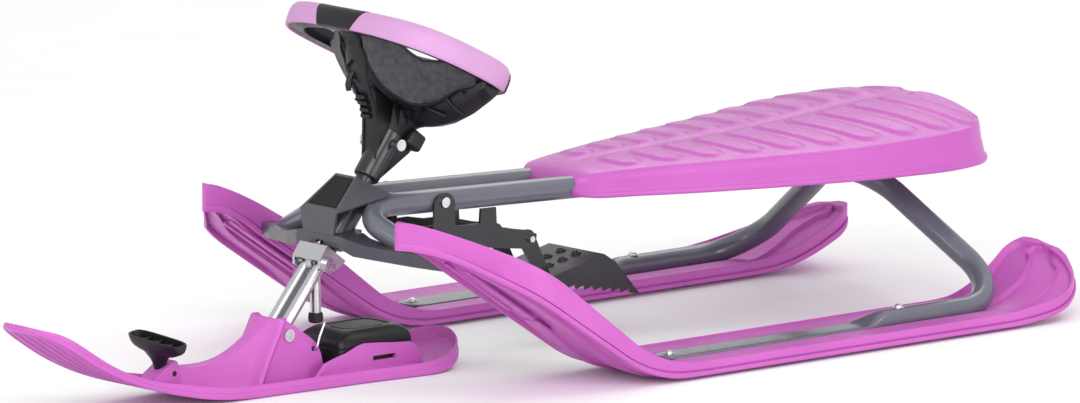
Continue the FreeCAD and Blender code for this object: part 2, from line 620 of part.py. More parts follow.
hb_ = S("rim_band") / 2
hole = pad("rim_hole", "XY", rim_plan(S("rim_depth")), S("rim_band") + 4, Placement(RIMC - UP * (hb_ + 2), WROT))
ring = cut("rim_ring", pad("rim_outer", "XY", rim_plan(0.0), "sizes.rim_band", Placement(RIMC - UP * hb_, WROT)), hole)
band = pad("rim_band_core", "XY", rim_plan(8.0), 14.0, Placement(RIMC - UP * hb_, WROT))
dark = fuse("rim_dark", block("rim_mid_box", 120.0, 66.0, 60.0, rim_pt(10, -33, -30), WROT),
            block("rim_rear_box", 80.0, 300.0, 60.0, rim_pt(-140, -150, -30), WROT))
grips = cut("rim_skin", ring, band, dark)
node("wheel_grip_left", common("grip_l", grips, block("rim_left_box", 240.0, 200.0, 80.0, rim_pt(-120, 0, -40), WROT)))
node("wheel_grip_right", common("grip_r", grips, block("rim_right_box", 240.0, 200.0, 80.0, rim_pt(-120, -200, -40), WROT)))
rim_dark = common("rim_dark_part", ring, dark)
rim_core = cut("rim_core_band", band, hole)
# bowl: ten-sided, from the sleeve through the ridge to the edge inside the rim
b_low = [(13, 6), (8, 11.5), (-2, 13), (-10, 9), (-13, 4)]
b_mid = [(20, 8), (16, 15), (4, 20), (-10, 19), (-22, 9)]
b_rdg = [(45, 14, -32), (22, 32, -47), (0, 52, -51), (-8, 88, -30), (-46, 36, -36)]
b_top = [(65, 14, -9), (40, 49, -9), (21, 66, -9), (-2, 97, -9), (-44, 40, -9)]


def both(rows):
    return list(rows) + [(r[0], -r[1]) + tuple(r[2:]) for r in reversed(rows)]


def closed(pts):
    return Part.makePolygon(list(pts) + [pts[0]])


bowl = Part.makeLoft([closed([on_axis(190) + AXP * u + V(0, v, 0) for (u, v) in both(b_low)]),
                      closed([on_axis(228) + AXP * u + V(0, v, 0) for (u, v) in both(b_mid)]),
                      closed([rim_pt(*r) for r in both(b_rdg)]),
                      closed([rim_pt(*r) for r in both(b_top)])], True, True)
bowl_f = doc.addObject("Part::Feature", "wheel_bowl")
bowl_f.Shape = bowl if bowl.Volume > 0 else bowl.reversed()
# spokes: one thin rib to the front, two broad ones to the rear quarters, and the fins of the sleeve
fin = pad("wheel_spine", "XZ", [(172, 334), (160, 322), (153, 304), (150, 280), (143, 269), (136.5, 251), (135, 240), (136.5, 216), (138, 194), (143, 186), (128, 186),
                                (119, 184), (88, 204), (84, 232), (100, 270), (140, 306), (162, 330)],
          22.0, moved(V(0, 11, 0)))
spk = []
for k, s in enumerate((1, -1)):
    q = [[rim_pt(-44, s * 26, -46), rim_pt(-6, s * 26, -46), rim_pt(-6, s * 26, -18), rim_pt(-44, s * 26, -18)],
         [rim_pt(-52, s * 90, -10.5), rim_pt(-14, s * 90, -10.5), rim_pt(-14, s * 90, -4), rim_pt(-52, s * 90, -4)]]
    sh = Part.makeLoft([closed(r) for r in q], True, True)
    o = doc.addObject("Part::Feature", "wheel_spoke_%d" % k)
    o.Shape = sh if sh.Volume > 0 else sh.reversed()
    spk.append(o)
core = fuse("wheel_core_all", rim_dark, rim_core, bowl_f, fin, *spk)
sleeve_bore = cyl("wheel_bore", "sizes.shaft_radius", sl, sb - AX * 0.0, AX)
cross = cyl("wheel_cross", "sizes.bolt_radius + 0.05", 120.0, hub_p + V(0, -60, 0), V(0, 1, 0))
node("wheel_core", cut("wheel_core_cut", core, sleeve_bore, cross))
node("hub_screw", fuse("hub_screw_all", cyl("hub_shank", "sizes.bolt_radius", 46.0, hub_p + V(0, -24.0, 0), V(0, 1, 0)),
                       cyl("hub_head", 5.5, 3.0, hub_p + V(0, 22.0, 0), V(0, 1, 0))))
node("hub_nut", cut("hub_nut_cut", cyl("hub_nut_o", 8.0, 6.0, hub_p + V(0, -26.6, 0), V(0, 1, 0)),
                    cyl("hub_nut_i", "sizes.bolt_radius", 10.0, hub_p + V(0, -28.0, 0), V(0, 1, 0))))

# fork bracket: plate under the shaft, two cheeks round the strut head, a web across their front
fx, fz = S("fork_x"), S("fork_z")
sd = V(S("pivot_x") - fx, 0, S("pivot_z") - fz)
sd_len = sd.Length
sdn = V(sd.x, sd.y, sd.z).normalize()
srot = Rotation(V(0, 0, 1), sdn * -1)                          # strut local Z, upward
br = []
base_p = sb
plate = block("fork_plate", 28.0, 39.6, 4.0, V(0, 0, 0))
plate.Placement = Placement(base_p - AXP * 10 - V(0, 19.8, 0) - AX * 4.0, TILT)
br.append(plate)
for k, s in enumerate((1, -1)):
    br.append(pad("fork_cheek_%d" % k, "XY", [(-1, -17.5), (13, -20.5), (18, -13), (18, 0.0), (-10, 0.0), (-7, -8)], 3.0,
                  Placement(base_p - AX * 2.0 + V(0, s * 18.3 + 1.5, 0), TILT.multiply(Rotation(V(1, 0, 0), 90)))))
br.append(pad("fork_front", "XY", [(15.6, -14.5), (18, -14.5), (18, 0.0), (15.6, 0.0)], 36.6,
              Placement(base_p - AX * 2.0 + V(0, 18.3, 0), TILT.multiply(Rotation(V(1, 0, 0), 90)))))
fk_all = fuse("fork_all", *br)
fork_hole = cyl("fork_hole", "sizes.pivot_radius", 80.0, V(fx, -40, fz), V(0, 1, 0))
node("fork_bracket", cut("fork_cut", fk_all, fork_hole))
node("fork_bolt", fuse("fork_bolt_all", cyl("fork_shank", "sizes.pivot_radius", 40.6, V(fx, -20.3, fz), V(0, 1, 0)),
                       cyl("fork_head", 6.5, 4.0, V(fx, 19.9, fz), V(0, 1, 0)),
                       cyl("fork_nut", 6.5, 4.0, V(fx, -23.9, fz), V(0, 1, 0))))

# strut: two tubes and a web, an eye at each end
parts = []
st, ss = S("strut_tube"), S("strut_spread")
lo_p = V(S("pivot_x"), 0, S("pivot_z")) - sdn * 0.0
for k, s in enumerate((1, -1)):
    parts.append(cyl("strut_tube_%d" % k, "sizes.strut_tube", sd_len + 12.0, lo_p + sdn * 6.0 + V(0, s * ss, 0), sdn * -1))
webb = block("strut_web", 3.0, 2 * ss, sd_len - 32.0, V(0, 0, 0))
webb.Placement = Placement(lo_p - sdn * 16.0, srot).multiply(Placement(V(-1.5, -ss, 0), Rotation()))
parts.append(webb)
strut = fuse("strut_all", *parts)
node("ski_strut", cut("strut_cut", strut,
                      cyl("strut_hole_a", "sizes.pivot_radius", 60.0, V(fx, -30, fz), V(0, 1, 0)),
                      cyl("strut_hole_b", "sizes.pivot_radius + 0.05", 60.0, V(S("pivot_x"), -30, S("pivot_z")), V(0, 1, 0))))
# stop leg behind the strut, hung on the fork bolt between the tubes, and its rubber foot
leg_top, leg_bot = V(fx, 0, fz), V(203, 0, 58)
ld = leg_top - leg_bot
leg = cyl("leg_rod", 4.3, ld.Length - 5.0, leg_bot, ld)
leg_eye = cyl("leg_eye", 8.0, 8.0, V(fx, -4.0, fz), V(0, 1, 0))
node("stop_leg", cut("leg_cut", fuse("leg_all", leg, leg_eye),
                     cyl("leg_hole", "sizes.pivot_radius", 30.0, V(fx, -15, fz), V(0, 1, 0))))
bmp = cyl("bump_o", 7.0, 9.0, leg_bot - ld * (4.0 / ld.Length), ld)
node("leg_bumper", cut("bump_cut", bmp, cyl("bump_i", 4.3, 20.0, leg_bot, ld)))

# ---------------------------------------------------------------- front ski
def fs_line(off):
    R, r3 = 200.0 - off, 110.0 + off
    t = radians(33)
    ex, ez = 365 + R * sin(t), off + R * (1 - cos(t))
    run = 76.4
    sx, sz = ex + run * cos(t), ez + run * sin(t)
    t2 = radians(6)
    tx, tz = sx + r3 * (sin(t) - sin(t2)), sz + r3 * (cos(t2) - cos(t))
    rc = 130.0 - off
    up = lambda d: off + rc - sqrt(rc * rc - d * d)
    return [(20, up(88)), ("arc", (64, up(44)), (108, off)), (365, off), ("arc", (365 + R * sin(t / 2), off + R * (1 - cos(t / 2))), (ex, ez)), (sx, sz),
            ("arc", (sx + r3 * (sin(t) - sin(radians(18))), sz + r3 * (cos(radians(18)) - cos(t))), (tx, tz)),
            (tx + 40, tz + 40 * tan(t2))]


def fs_band(lo, hi):
    return fs_line(lo) + back_line(fs_line(hi))


def fs_plan(w):
    n_, t_ = S("nose_x"), S("tail_x")
    h1, h2, h3 = 40.0 - w, 46.0 - w, 60.0 - w
    return [(n_ - 42, -h1), ("arc", (n_ - w, 0), (n_ - 42, h1)), (300, h2), (180, h2 + 6), (108, h3),
            ("arc", (t_ + w, 0), (108, -h3)), (180, -h2 - 6), (300, -h2)]


f1 = pad("fs_side", "XZ", fs_band(0.0, S("rim_height")), 160.0, moved(V(0, 80, 0)))
f2 = pad("fs_plan_o", "XY", fs_plan(0.0), 200.0, moved(V(0, 0, -20)))
fs_o = common("fs_blank", f1, f2)
f3 = pad("fs_side_i", "XZ", fs_band(S("sole"), S("rim_height") + 30), 160.0, moved(V(0, 80, 0)))
f4 = pad("fs_plan_i", "XY", fs_plan(4.0), 200.0, moved(V(0, 0, -20)))
fs_i = common("fs_hollow", f3, f4)
fs = cut("fs_tray", fs_o, fs_i)
spine_b = pad("fs_spine", "XZ", [(412, 9.5), (410, 15), (402, 20), (368, 25), (332, 27.5), (312, 31), (294, 37), (285, 42), (277, 48), (268, 56), (262, 61), (262, 3.0), (360, 3.0), (385, 4.5)],
              20.0, moved(V(0, 10, 0)))
pyl = pad("fs_pylon", "XZ", [(302, 3.0), (284, 57), (278, 66), (262, 66), (251, 61), (236, 51), (221, 40), (214, 28), (212, 3.0)], "2 * sizes.pylon_half",
          moved(V(0, S("pylon_half"), 0)))
slot_p = pad("fs_slot", "XZ", [(276, 90), (266, 36), (205, 36), (205, 90)], "2 * sizes.slot_half", moved(V(0, S("slot_half"), 0)))
cradle = []
for k, s in enumerate((1, -1)):
    cr = pad("fs_cradle_%d" % k, "XZ", [(232, 3.0), (222, 19), (195, 26), (181, 31), (172, 33), (116, 28), (108, 20), (100, 3.0)], 4.0,
             moved(V(0, s * 35.0 + 2.0, 0)))
    cradle.append(cr)
handle_dir = V(sin(radians(S("handle_lean"))), 0, cos(radians(S("handle_lean"))))
sock_base = V(S("handle_x") - 8.5, 0, 6.0)
sock = cyl("fs_socket", 11.0, 28.0, sock_base, handle_dir)
sock_cut = block("fs_sock_under", 60.0, 60.0, 30.0, V(360, -30, -27.0))
sockc = cut("fs_socket_t", sock, sock_cut)
fs_sum = fuse("fs_sum", fs, spine_b, pyl, sockc, *cradle)
fs_cut = cut("fs_cut", fs_sum, slot_p,
             cyl("fs_pivot_bore", "sizes.pivot_radius", 80.0, V(S("pivot_x"), -40, S("pivot_z")), V(0, 1, 0)),
             cyl("fs_stem_bore", "sizes.stem_radius + 0.06", 60.0, sock_base + handle_dir * 4.0, handle_dir),
             cyl("fs_wire_bore", 1.6, 80.0, V(225, -40, 34), V(0, 1, 0)),
             cyl("fs_peg_bore", 2.4, 80.0, V(388.5, -40, 23.5), V(0, 1, 0)),
             block("fs_cradle_slit", 28.0, 90.0, 4.5, V(136, -45, 17)))
node("front_ski", fs_cut)
node("pivot_rivet", fuse("pivot_all", cyl("pivot_shank", "sizes.pivot_radius", 2 * 22.2, V(S("pivot_x"), -22.2, S("pivot_z")), V(0, 1, 0)),
                         cyl("pivot_head_a", 6.0, 2.0, V(S("pivot_x"), 22.0, S("pivot_z")), V(0, 1, 0)),
                         cyl("pivot_head_b", 6.0, 2.0, V(S("pivot_x"), -24.0, S("pivot_z")), V(0, 1, 0))))
# spring wire: hooked through the pylon wall
wsp = wire_feature("wire_spine", [V(225, 14, 34), V(225, 27, 34), V(221, 27, 46), V(215, 27, 58)], [4.0, 6.0])
node("pitch_spring", sweep("wire_body", wsp, 1.1, V(225, 14, 34), V(0, 1, 0)))

# ---------------------------------------------------------------- retractor
bxm, bh, bl = S("box_x"), S("box_half"), S("box_length")
rb = block("ret_base", "sizes.box_length", "2 * sizes.box_half", 26.0, V(bxm - bl / 2, -bh, S("sole") + 0.1))
rcav = cyl("ret_cavity", "sizes.spool_radius + 2.5", 40.0, V(bxm, 0, S("sole") + 3.1))
rtap = [cyl("ret_tap_%d" % k, 1.65, 20.0, V(bxm + dx, dy, S("sole") + 13), V(0, 0, 1)) for k, (dx, dy) in
        enumerate([(38, 25), (38, -25), (-38, 25), (-38, -25)])]
raxb = cyl("ret_axle_bore", "sizes.axle_radius", 40.0, V(bxm, 0, S("sole") + 1.1))
node("retractor_base", cut("ret_base_cut", rb, rcav, raxb, *rtap))
zl = S("sole") + 26.1
lid_p = pad("ret_lid_side", "XZ", [(bxm - bl / 2, zl), (bxm + bl / 2, zl), (bxm + bl / 2, zl + 8), (bxm + bl / 2 - 10, zl + 15),
                                   (bxm - bl / 2 + 8, zl + 15), (bxm - bl / 2, zl + 7)], "2 * sizes.box_half", moved(V(0, bh, 0)))
lid_scr = [cyl("ret_lid_bore_%d" % k, 1.7, 40.0, V(bxm + dx, dy, zl - 5)) for k, (dx, dy) in
           enumerate([(38, 25), (38, -25), (-38, 25), (-38, -25)])]
lid_cb = [cyl("ret_lid_cbore_%d" % k, 3.4, 40.0, V(bxm + dx, dy, zl + 4)) for k, (dx, dy) in
          enumerate([(38, 25), (38, -25), (-38, 25), (-38, -25)])]
node("retractor_lid", cut("ret_lid_cut", lid_p, *(lid_scr + lid_cb)))
rs_ = []
for k, (dx, dy) in enumerate([(38, 25), (38, -25), (-38, 25), (-38, -25)]):
    rs_.append(fuse("ret_screw_%d" % k, cyl("ret_shank_%d" % k, 1.6, 16.0, V(bxm + dx, dy, zl + 4.0 - 15.9)),
                    cyl("ret_head_%d" % k, 3.2, 2.0, V(bxm + dx, dy, zl + 4.0))))
g4 = doc.addObject("Part::Compound", "ret_screw_group")
g4.Links = rs_
node("retractor_screws", g4)
node("spool_axle", cyl("spool_axle_rod", "sizes.axle_radius", 24.5, V(bxm, 0, S("sole") + 1.4)))
spo = cyl("spool_body", "sizes.spool_radius", "sizes.spool_width", V(bxm, 0, S("sole") + 6.0))
spg = doc.addObject("Part::Torus", "spool_groove")
spg.Radius1, spg.Radius2 = S("spool_radius") + 2.0, 6.0
spg.Placement = moved(V(bxm, 0, S("sole") + 6.0 + S("spool_width") / 2))
node("cord_spool", cut("spool_cut", spo, spg, cyl("spool_bore", "sizes.axle_radius + 0.05", 40.0, V(bxm, 0, S("sole")))))

# ---------------------------------------------------------------- tow handle
hrot = Rotation(V(0, 0, 1), handle_dir)
stem = cyl("handle_stem", "sizes.stem_radius", 40.0, sock_base + handle_dir * 5.0, handle_dir)
tb = pad("handle_bar", "YZ", [(-33, 0), (33, 0), ("arc", (38.0, 4.5), (39, 11)), (-39, 11), ("arc", (-38, 4.5), (-33, 0))],
         18.0, Placement(sock_base + handle_dir * 42.0 - hrot.multVec(V(9, 0, 0)), hrot))
hol = block("handle_hollow", 12.0, 68.0, 10.0, V(0, 0, 0))
hol.Placement = Placement(sock_base + handle_dir * 47.0, hrot).multiply(Placement(V(-6, -34, 0), Rotation()))
node("tow_handle", cut("handle_cut", fuse("handle_all", stem, tb), hol))

doc.recompute()

bad = [(o.Name, list(o.State)) for o in doc.Objects if "Invalid" in o.State or "Error" in o.State]
os.makedirs("parts", exist_ok=True)
for lab, o in OUT.items():
    sh = o.Shape
    if sh.isNull() or not sh.isValid():
        bad.append((lab, "shape"))
if bad:
    raise RuntimeError("invalid: %s" % bad)
for old in os.listdir("parts"):
    if old.endswith(".step"):
        os.remove(os.path.join("parts", old))
bb = None
for lab, o in sorted(OUT.items()):
    sh = o.Shape
    sh.exportStep("parts/%s.step" % lab)
    b = sh.BoundBox
    bb = b if bb is None else bb.united(b)
    print("%-22s solids %d vol %9.0f  x %7.1f %7.1f y %7.1f %7.1f z %7.1f %7.1f" % (
        lab, len(sh.Solids), sh.Volume, b.XMin, b.XMax, b.YMin, b.YMax, b.ZMin, b.ZMax))
print("box", bb)
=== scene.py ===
import bpy, bmesh
from math import sin, cos, tan, pi, radians, sqrt, atan2, exp
from mathutils import Vector, Matrix


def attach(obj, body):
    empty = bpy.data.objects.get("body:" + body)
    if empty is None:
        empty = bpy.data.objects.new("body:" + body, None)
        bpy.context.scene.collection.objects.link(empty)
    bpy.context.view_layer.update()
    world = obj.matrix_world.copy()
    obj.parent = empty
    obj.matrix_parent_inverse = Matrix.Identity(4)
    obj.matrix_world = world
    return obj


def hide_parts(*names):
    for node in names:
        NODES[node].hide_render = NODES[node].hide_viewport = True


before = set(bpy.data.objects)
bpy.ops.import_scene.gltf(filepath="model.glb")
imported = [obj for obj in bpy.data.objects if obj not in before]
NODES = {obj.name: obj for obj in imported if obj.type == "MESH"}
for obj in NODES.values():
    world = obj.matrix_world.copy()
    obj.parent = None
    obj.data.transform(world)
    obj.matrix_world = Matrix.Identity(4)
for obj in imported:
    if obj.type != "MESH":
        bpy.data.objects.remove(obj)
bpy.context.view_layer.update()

scene = bpy.context.scene
MM = 0.001

# ------------------------------------------------------------------ small tools


def V(x, y, z):
    return Vector((x, y, z))


def clamp(t, a=0.0, b=1.0):
    return max(a, min(b, t))


def ss(a, b, x):
    """Smooth step from 0 at a to 1 at b."""
    t = clamp((x - a) / (b - a))
    return t * t * (3 - 2 * t)


def lerp(a, b, t):
    return a + (b - a) * t


def table(rows, x):
    """Values at x from rows of (x, a, b, ...), joined smoothly."""
    rows = sorted(rows)
    if x <= rows[0][0]:
        return rows[0][1:]
    if x >= rows[-1][0]:
        return rows[-1][1:]
    for i in range(len(rows) - 1):
        r0, r1 = rows[i], rows[i + 1]
        if r0[0] <= x <= r1[0]:
            t = (x - r0[0]) / (r1[0] - r0[0])
            out = []
            rm = rows[i - 1] if i > 0 else r0
            rp = rows[i + 2] if i + 2 < len(rows) else r1
            h = r1[0] - r0[0]
            for k in range(1, len(r0)):
                m0 = (r1[k] - rm[k]) / (r1[0] - rm[0]) * h
                m1 = (rp[k] - r0[k]) / (rp[0] - r0[0]) * h
                t2, t3 = t * t, t * t * t
                out.append((2 * t3 - 3 * t2 + 1) * r0[k] + (t3 - 2 * t2 + t) * m0 + (-2 * t3 + 3 * t2) * r1[k] + (t3 - t2) * m1)
            return tuple(out)


class Shape:
    """Gathers closed shells, in millimetres."""

    def __init__(self):
        self.v, self.f = [], []

    def add(self, vf, m=None):
        v, f = vf
        k = len(self.v)
        self.v += [(m @ Vector(p)) if m is not None else Vector(p) for p in v]
        self.f += [tuple(i + k for i in q) for q in f]
        return self


def loft(rings, cap0=True, cap1=True):
    n = len(rings[0])
    v = [p for r in rings for p in r]
    f = []
    for i in range(len(rings) - 1):
        for j in range(n):
            a, b = i * n + j, i * n + (j + 1) % n
            f.append((a, b, b + n, a + n))
    if cap0:
        f.append(tuple(range(n - 1, -1, -1)))
    if cap1:
        k = (len(rings) - 1) * n
        f.append(tuple(k + j for j in range(n)))
    return v, f


def frames(path):
    """Tangent and two normals along a path, carried without twist."""
    out = []
    n = len(path)
    t0 = (path[1] - path[0]).normalized()
    u = V(0, 0, 1).cross(t0)
    if u.length < 0.05:
        u = V(0, 1, 0).cross(t0)
    u.normalize()
    for i in range(n):
        t = (path[min(i + 1, n - 1)] - path[max(i - 1, 0)]).normalized()
        u = (u - t * u.dot(t)).normalized()
        out.append((t, u, t.cross(u)))
    return out


def tube(path, radius, n=20, cap=True):
    """Round rod along a path; radius is a number or a list."""
    fr = frames(path)
    rings = []
    for i, p in enumerate(path):
        r = radius[i] if isinstance(radius, (list, tuple)) else radius
        t, u, w = fr[i]
        rings.append([p + u * (r * cos(2 * pi * k / n)) + w * (r * sin(2 * pi * k / n)) for k in range(n)])
    return loft(rings, cap, cap)


def bend_path(pts, radii, step=6.0):
    """Corner points joined by straight runs and round bends."""
    out = [pts[0]]
    for i in range(1, len(pts) - 1):
        p, a, b = pts[i], pts[i - 1], pts[i + 1]
        d1, d2 = (p - a).normalized(), (b - p).normalized()
        ang = d1.angle(d2)
        t = radii[i - 1] * tan(ang / 2)
        s = p - d1 * t
        bis = (d2 - d1).normalized()
        c = p + bis * (radii[i - 1] / cos(ang / 2))
        q = s - c
        ax = d1.cross(d2).normalized()
        m = max(5, int(radii[i - 1] * ang / step))
        n0 = max(1, int((s - out[-1]).length / (step * 3)))
        p0 = out[-1]
        for k in range(1, n0):
            out.append(p0.lerp(s, k / n0))
        for k in range(m + 1):
            out.append(c + Matrix.Rotation(ang * k / m, 3, ax) @ q)
    p0 = out[-1]
    n0 = max(1, int((pts[-1] - p0).length / (step * 3)))
    for k in range(1, n0 + 1):
        out.append(p0.lerp(pts[-1], k / n0))
    return out


def lathe(profile, n=32):
    """Closed turned shape about local Z from (r, z) pairs; first and last radius may be 0."""
    rings = [[V(max(r, 0.001) * cos(2 * pi * k / n), max(r, 0.001) * sin(2 * pi * k / n), z) for k in range(n)] for r, z in profile]
    return loft(rings)


def rbox(lx, ly, lz, r, seg=3):
    """Rounded block about the origin."""
    bm = bmesh.new()
    bmesh.ops.create_cube(bm, size=1.0)
    for q in bm.verts:
        q.co = V(q.co.x * lx, q.co.y * ly, q.co.z * lz)
    bmesh.ops.bevel(bm, geom=bm.edges[:], offset=r, segments=seg, profile=0.5, affect="EDGES")
    bm.verts.ensure_lookup_table()
    v = [q.co.copy() for q in bm.verts]
    f = [tuple(w.index for w in p.verts) for p in bm.faces]
    bm.free()
    return v, f


def slab(outline, z0, z1, r=0.8, seg=2):
    """Flat outline (x, y) between z0 and z1 with rounded edges."""
    bm = bmesh.new()
    vs = [bm.verts.new((x, y, z0)) for x, y in outline]
    face = bm.faces.new(vs)
    ext = bmesh.ops.extrude_face_region(bm, geom=[face])
    for q in ext["geom"]:
        if isinstance(q, bmesh.types.BMVert):
            q.co.z = z1
    bmesh.ops.recalc_face_normals(bm, faces=bm.faces)
    if r > 0:
        es = [e for e in bm.edges if len(e.link_faces) == 2 and e.calc_face_angle(0) > 0.6]
        bmesh.ops.bevel(bm, geom=es, offset=r, segments=seg, profile=0.5, affect="EDGES", clamp_overlap=True)
    bm.verts.ensure_lookup_table()
    bm.verts.index_update()
    v = [q.co.copy() for q in bm.verts]
    f = [tuple(w.index for w in p.verts) for p in bm.faces]
    bm.free()
    return v, f


def place(at, zdir=(0, 0, 1), xdir=None):
    """Matrix putting local Z along zdir at a point."""
    z = Vector(zdir).normalized()
    x = Vector(xdir) if xdir is not None else (V(1, 0, 0) if abs(z.x) < 0.9 else V(0, 1, 0))
    x = (x - z * x.dot(z)).normalized()
    y = z.cross(x)
    m = Matrix((x, y, z)).transposed().to_4x4()
    m.translation = Vector(at)
    return m


def mirror(shape):
    s = Shape()
    s.v = [V(p.x, -p.y, p.z) for p in shape.v]
    s.f = [tuple(reversed(q)) for q in shape.f]
    return s


def piece(name, shape, mat, body, replaces=(), sharp=38.0, subdiv=0, smooth=True):
    me = bpy.data.meshes.new(name)
    me.from_pydata([tuple(p * MM) for p in shape.v], [], shape.f)
    me.update()
    bm = bmesh.new()
    bm.from_mesh(me)
    bmesh.ops.remove_doubles(bm, verts=bm.verts, dist=1e-6)
    bmesh.ops.dissolve_degenerate(bm, edges=bm.edges, dist=1e-7)
    bmesh.ops.recalc_face_normals(bm, faces=bm.faces)
    bm.to_mesh(me)
    bm.free()
    for p in me.polygons:
        p.use_smooth = smooth
    me.set_sharp_from_angle(angle=radians(sharp))
    o = bpy.data.objects.new(name, me)
    scene.collection.objects.link(o)
    me.materials.append(mat)
    if subdiv:
        md = o.modifiers.new("sub", "SUBSURF")
        md.levels = md.render_levels = subdiv
    if replaces:
        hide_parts(*replaces)
    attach(o, body)
    return o


# ------------------------------------------------------------------ materials


def material(name, base, shade, rough, rough_span=0.08, metal=0.0, big=9.0, fine=900.0, bump=0.05, depth=0.0004,
             spec=0.5, coat=0.0, coat_rough=0.2, scratch=0.0, mottle=0.35, sub=0.0, sheen=0.0):
    """Node material: two tones mixed by soft noise, fine grain bump, uneven gloss and optional scratches."""
    m = bpy.data.materials.new(name)
    m.use_nodes = True
    nt = m.node_tree
    nt.nodes.clear()
    N = nt.nodes.new
    out = N("ShaderNodeOutputMaterial")
    b = N("ShaderNodeBsdfPrincipled")
    nt.links.new(b.outputs["BSDF"], out.inputs["Surface"])
    b.inputs["Metallic"].default_value = metal
    b.inputs["Specular IOR Level"].default_value = spec
    b.inputs["Coat Weight"].default_value = coat
    b.inputs["Coat Roughness"].default_value = coat_rough
    if sub > 0:
        b.inputs["Subsurface Weight"].default_value = sub
        b.inputs["Subsurface Radius"].default_value = (0.004, 0.0015, 0.003)
    tc = N("ShaderNodeTexCoord")
    n1 = N("ShaderNodeTexNoise")
    n1.inputs["Scale"].default_value = big
    n1.inputs["Detail"].default_value = 4.0
    n1.inputs["Roughness"].default_value = 0.55
    nt.links.new(tc.outputs["Object"], n1.inputs["Vector"])
    ramp = N("ShaderNodeValToRGB")
    ramp.color_ramp.elements[0].position = 0.5 - mottle / 2
    ramp.color_ramp.elements[1].position = 0.5 + mottle / 2
    ramp.color_ramp.elements[0].color = (*shade, 1)
    ramp.color_ramp.elements[1].color = (*base, 1)
    nt.links.new(n1.outputs["Fac"], ramp.inputs["Fac"])
    colour = ramp.outputs["Color"]
    n2 = N("ShaderNodeTexNoise")
    n2.inputs["Scale"].default_value = fine
    n2.inputs["Detail"].default_value = 3.0
    nt.links.new(tc.outputs["Object"], n2.inputs["Vector"])
    height = n2.outputs["Fac"]
    if scratch > 0:
        mp = N("ShaderNodeMapping")
        mp.inputs["Scale"].default_value = (6.0, 240.0, 240.0)
        nt.links.new(tc.outputs["Object"], mp.inputs["Vector"])
        n3 = N("ShaderNodeTexNoise")
        n3.inputs["Scale"].default_value = 4.0
        n3.inputs["Detail"].default_value = 6.0
        nt.links.new(mp.outputs["Vector"], n3.inputs["Vector"])
        r3 = N("ShaderNodeMapRange")
        r3.inputs["From Min"].default_value = 0.62
        r3.inputs["From Max"].default_value = 0.74
        r3.inputs["To Min"].default_value = 0.0
        r3.inputs["To Max"].default_value = scratch
        nt.links.new(n3.outputs["Fac"], r3.inputs["Value"])
        mx = N("ShaderNodeMix")
        mx.data_type = "RGBA"
        mx.inputs["B"].default_value = (*[min(1.0, c * 1.5 + 0.04) for c in base], 1)
        nt.links.new(r3.outputs["Result"], mx.inputs["Factor"])
        nt.links.new(colour, mx.inputs["A"])
        colour = mx.outputs["Result"]
    nt.links.new(colour, b.inputs["Base Color"])
    mr = N("ShaderNodeMapRange")
    mr.inputs["From Min"].default_value = 0.3
    mr.inputs["From Max"].default_value = 0.7
    mr.inputs["To Min"].default_value = rough - rough_span
    mr.inputs["To Max"].default_value = rough + rough_span
    n4 = N("ShaderNodeTexNoise")
    n4.inputs["Scale"].default_value = big * 5
    n4.inputs["Detail"].default_value = 5.0
    nt.links.new(tc.outputs["Object"], n4.inputs["Vector"])
    nt.links.new(n4.outputs["Fac"], mr.inputs["Value"])
    nt.links.new(mr.outputs["Result"], b.inputs["Roughness"])
    bp = N("ShaderNodeBump")
    bp.inputs["Strength"].default_value = bump
    bp.inputs["Distance"].default_value = depth
    nt.links.new(height, bp.inputs["Height"])
    nt.links.new(bp.outputs["Normal"], b.inputs["Normal"])
    return m


PINK = material("pink_moulding", (0.52, 0.115, 0.46), (0.48, 0.098, 0.425), 0.42, 0.06, bump=0.06, spec=0.36, scratch=0.10, sub=0.06)
PINK_SEAT = material("pink_seat_moulding", (0.50, 0.112, 0.445), (0.465, 0.098, 0.415), 0.30, 0.05, bump=0.06, fine=700, spec=0.27, sub=0.06)
GRIP = material("grip_soft_plastic", (0.54, 0.285, 0.525), (0.51, 0.268, 0.497), 0.48, 0.06, bump=0.08, spec=0.35, sub=0.08)
BLACK = material("black_moulding", (0.010, 0.010, 0.012), (0.006, 0.006, 0.008), 0.40, 0.08, bump=0.18, fine=1400, spec=0.36)
BLACK_GRAIN = material("black_grained_web", (0.075, 0.075, 0.080), (0.030, 0.030, 0.033), 0.55, 0.08, bump=0.55, fine=1500, depth=0.0006, spec=0.4, mottle=0.5, big=160)
PANEL = material("black_gloss_panel", (0.007, 0.007, 0.008), (0.004, 0.004, 0.005), 0.42, 0.05, bump=0.02, spec=0.22)
SLATE = material("slate_powder_coat", (0.112, 0.116, 0.145), (0.100, 0.104, 0.131), 0.32, 0.05, bump=0.05, fine=1300, spec=0.5, coat=0.45, coat_rough=0.13, big=30)
# Darker copy of the frame slate paint: painted shade on the crossbar and head plates
SLATE_PLATE_SHADE = material("slate_plate_painted_shade", (0.058, 0.059, 0.072), (0.050, 0.051, 0.063), 0.34, 0.05, bump=0.05, fine=1300, spec=0.45, coat=0.3, coat_rough=0.15, big=30)
BRAKE = material("black_satin_paint", (0.022, 0.022, 0.026), (0.015, 0.015, 0.018), 0.30, 0.08, bump=0.10, spec=0.4, coat=0.2, scratch=0.20)
ZINC = material("zinc_plated_steel", (0.60, 0.60, 0.61), (0.52, 0.53, 0.55), 0.30, 0.06, metal=1.0, bump=0.04, fine=1600, big=14, mottle=0.9)
# Darker copy of the zinc plating: painted shade on the strut web, which sits in the shade between the two tubes
ZINC_WEB_SHADE = material("zinc_web_painted_shade", (0.22, 0.22, 0.24), (0.16, 0.16, 0.18), 0.36, 0.06, metal=1.0, bump=0.04, fine=1600, big=14, mottle=0.9)
BRIGHT = material("bright_steel", (0.70, 0.70, 0.70), (0.58, 0.58, 0.60), 0.24, 0.07, metal=1.0, bump=0.06, big=120)
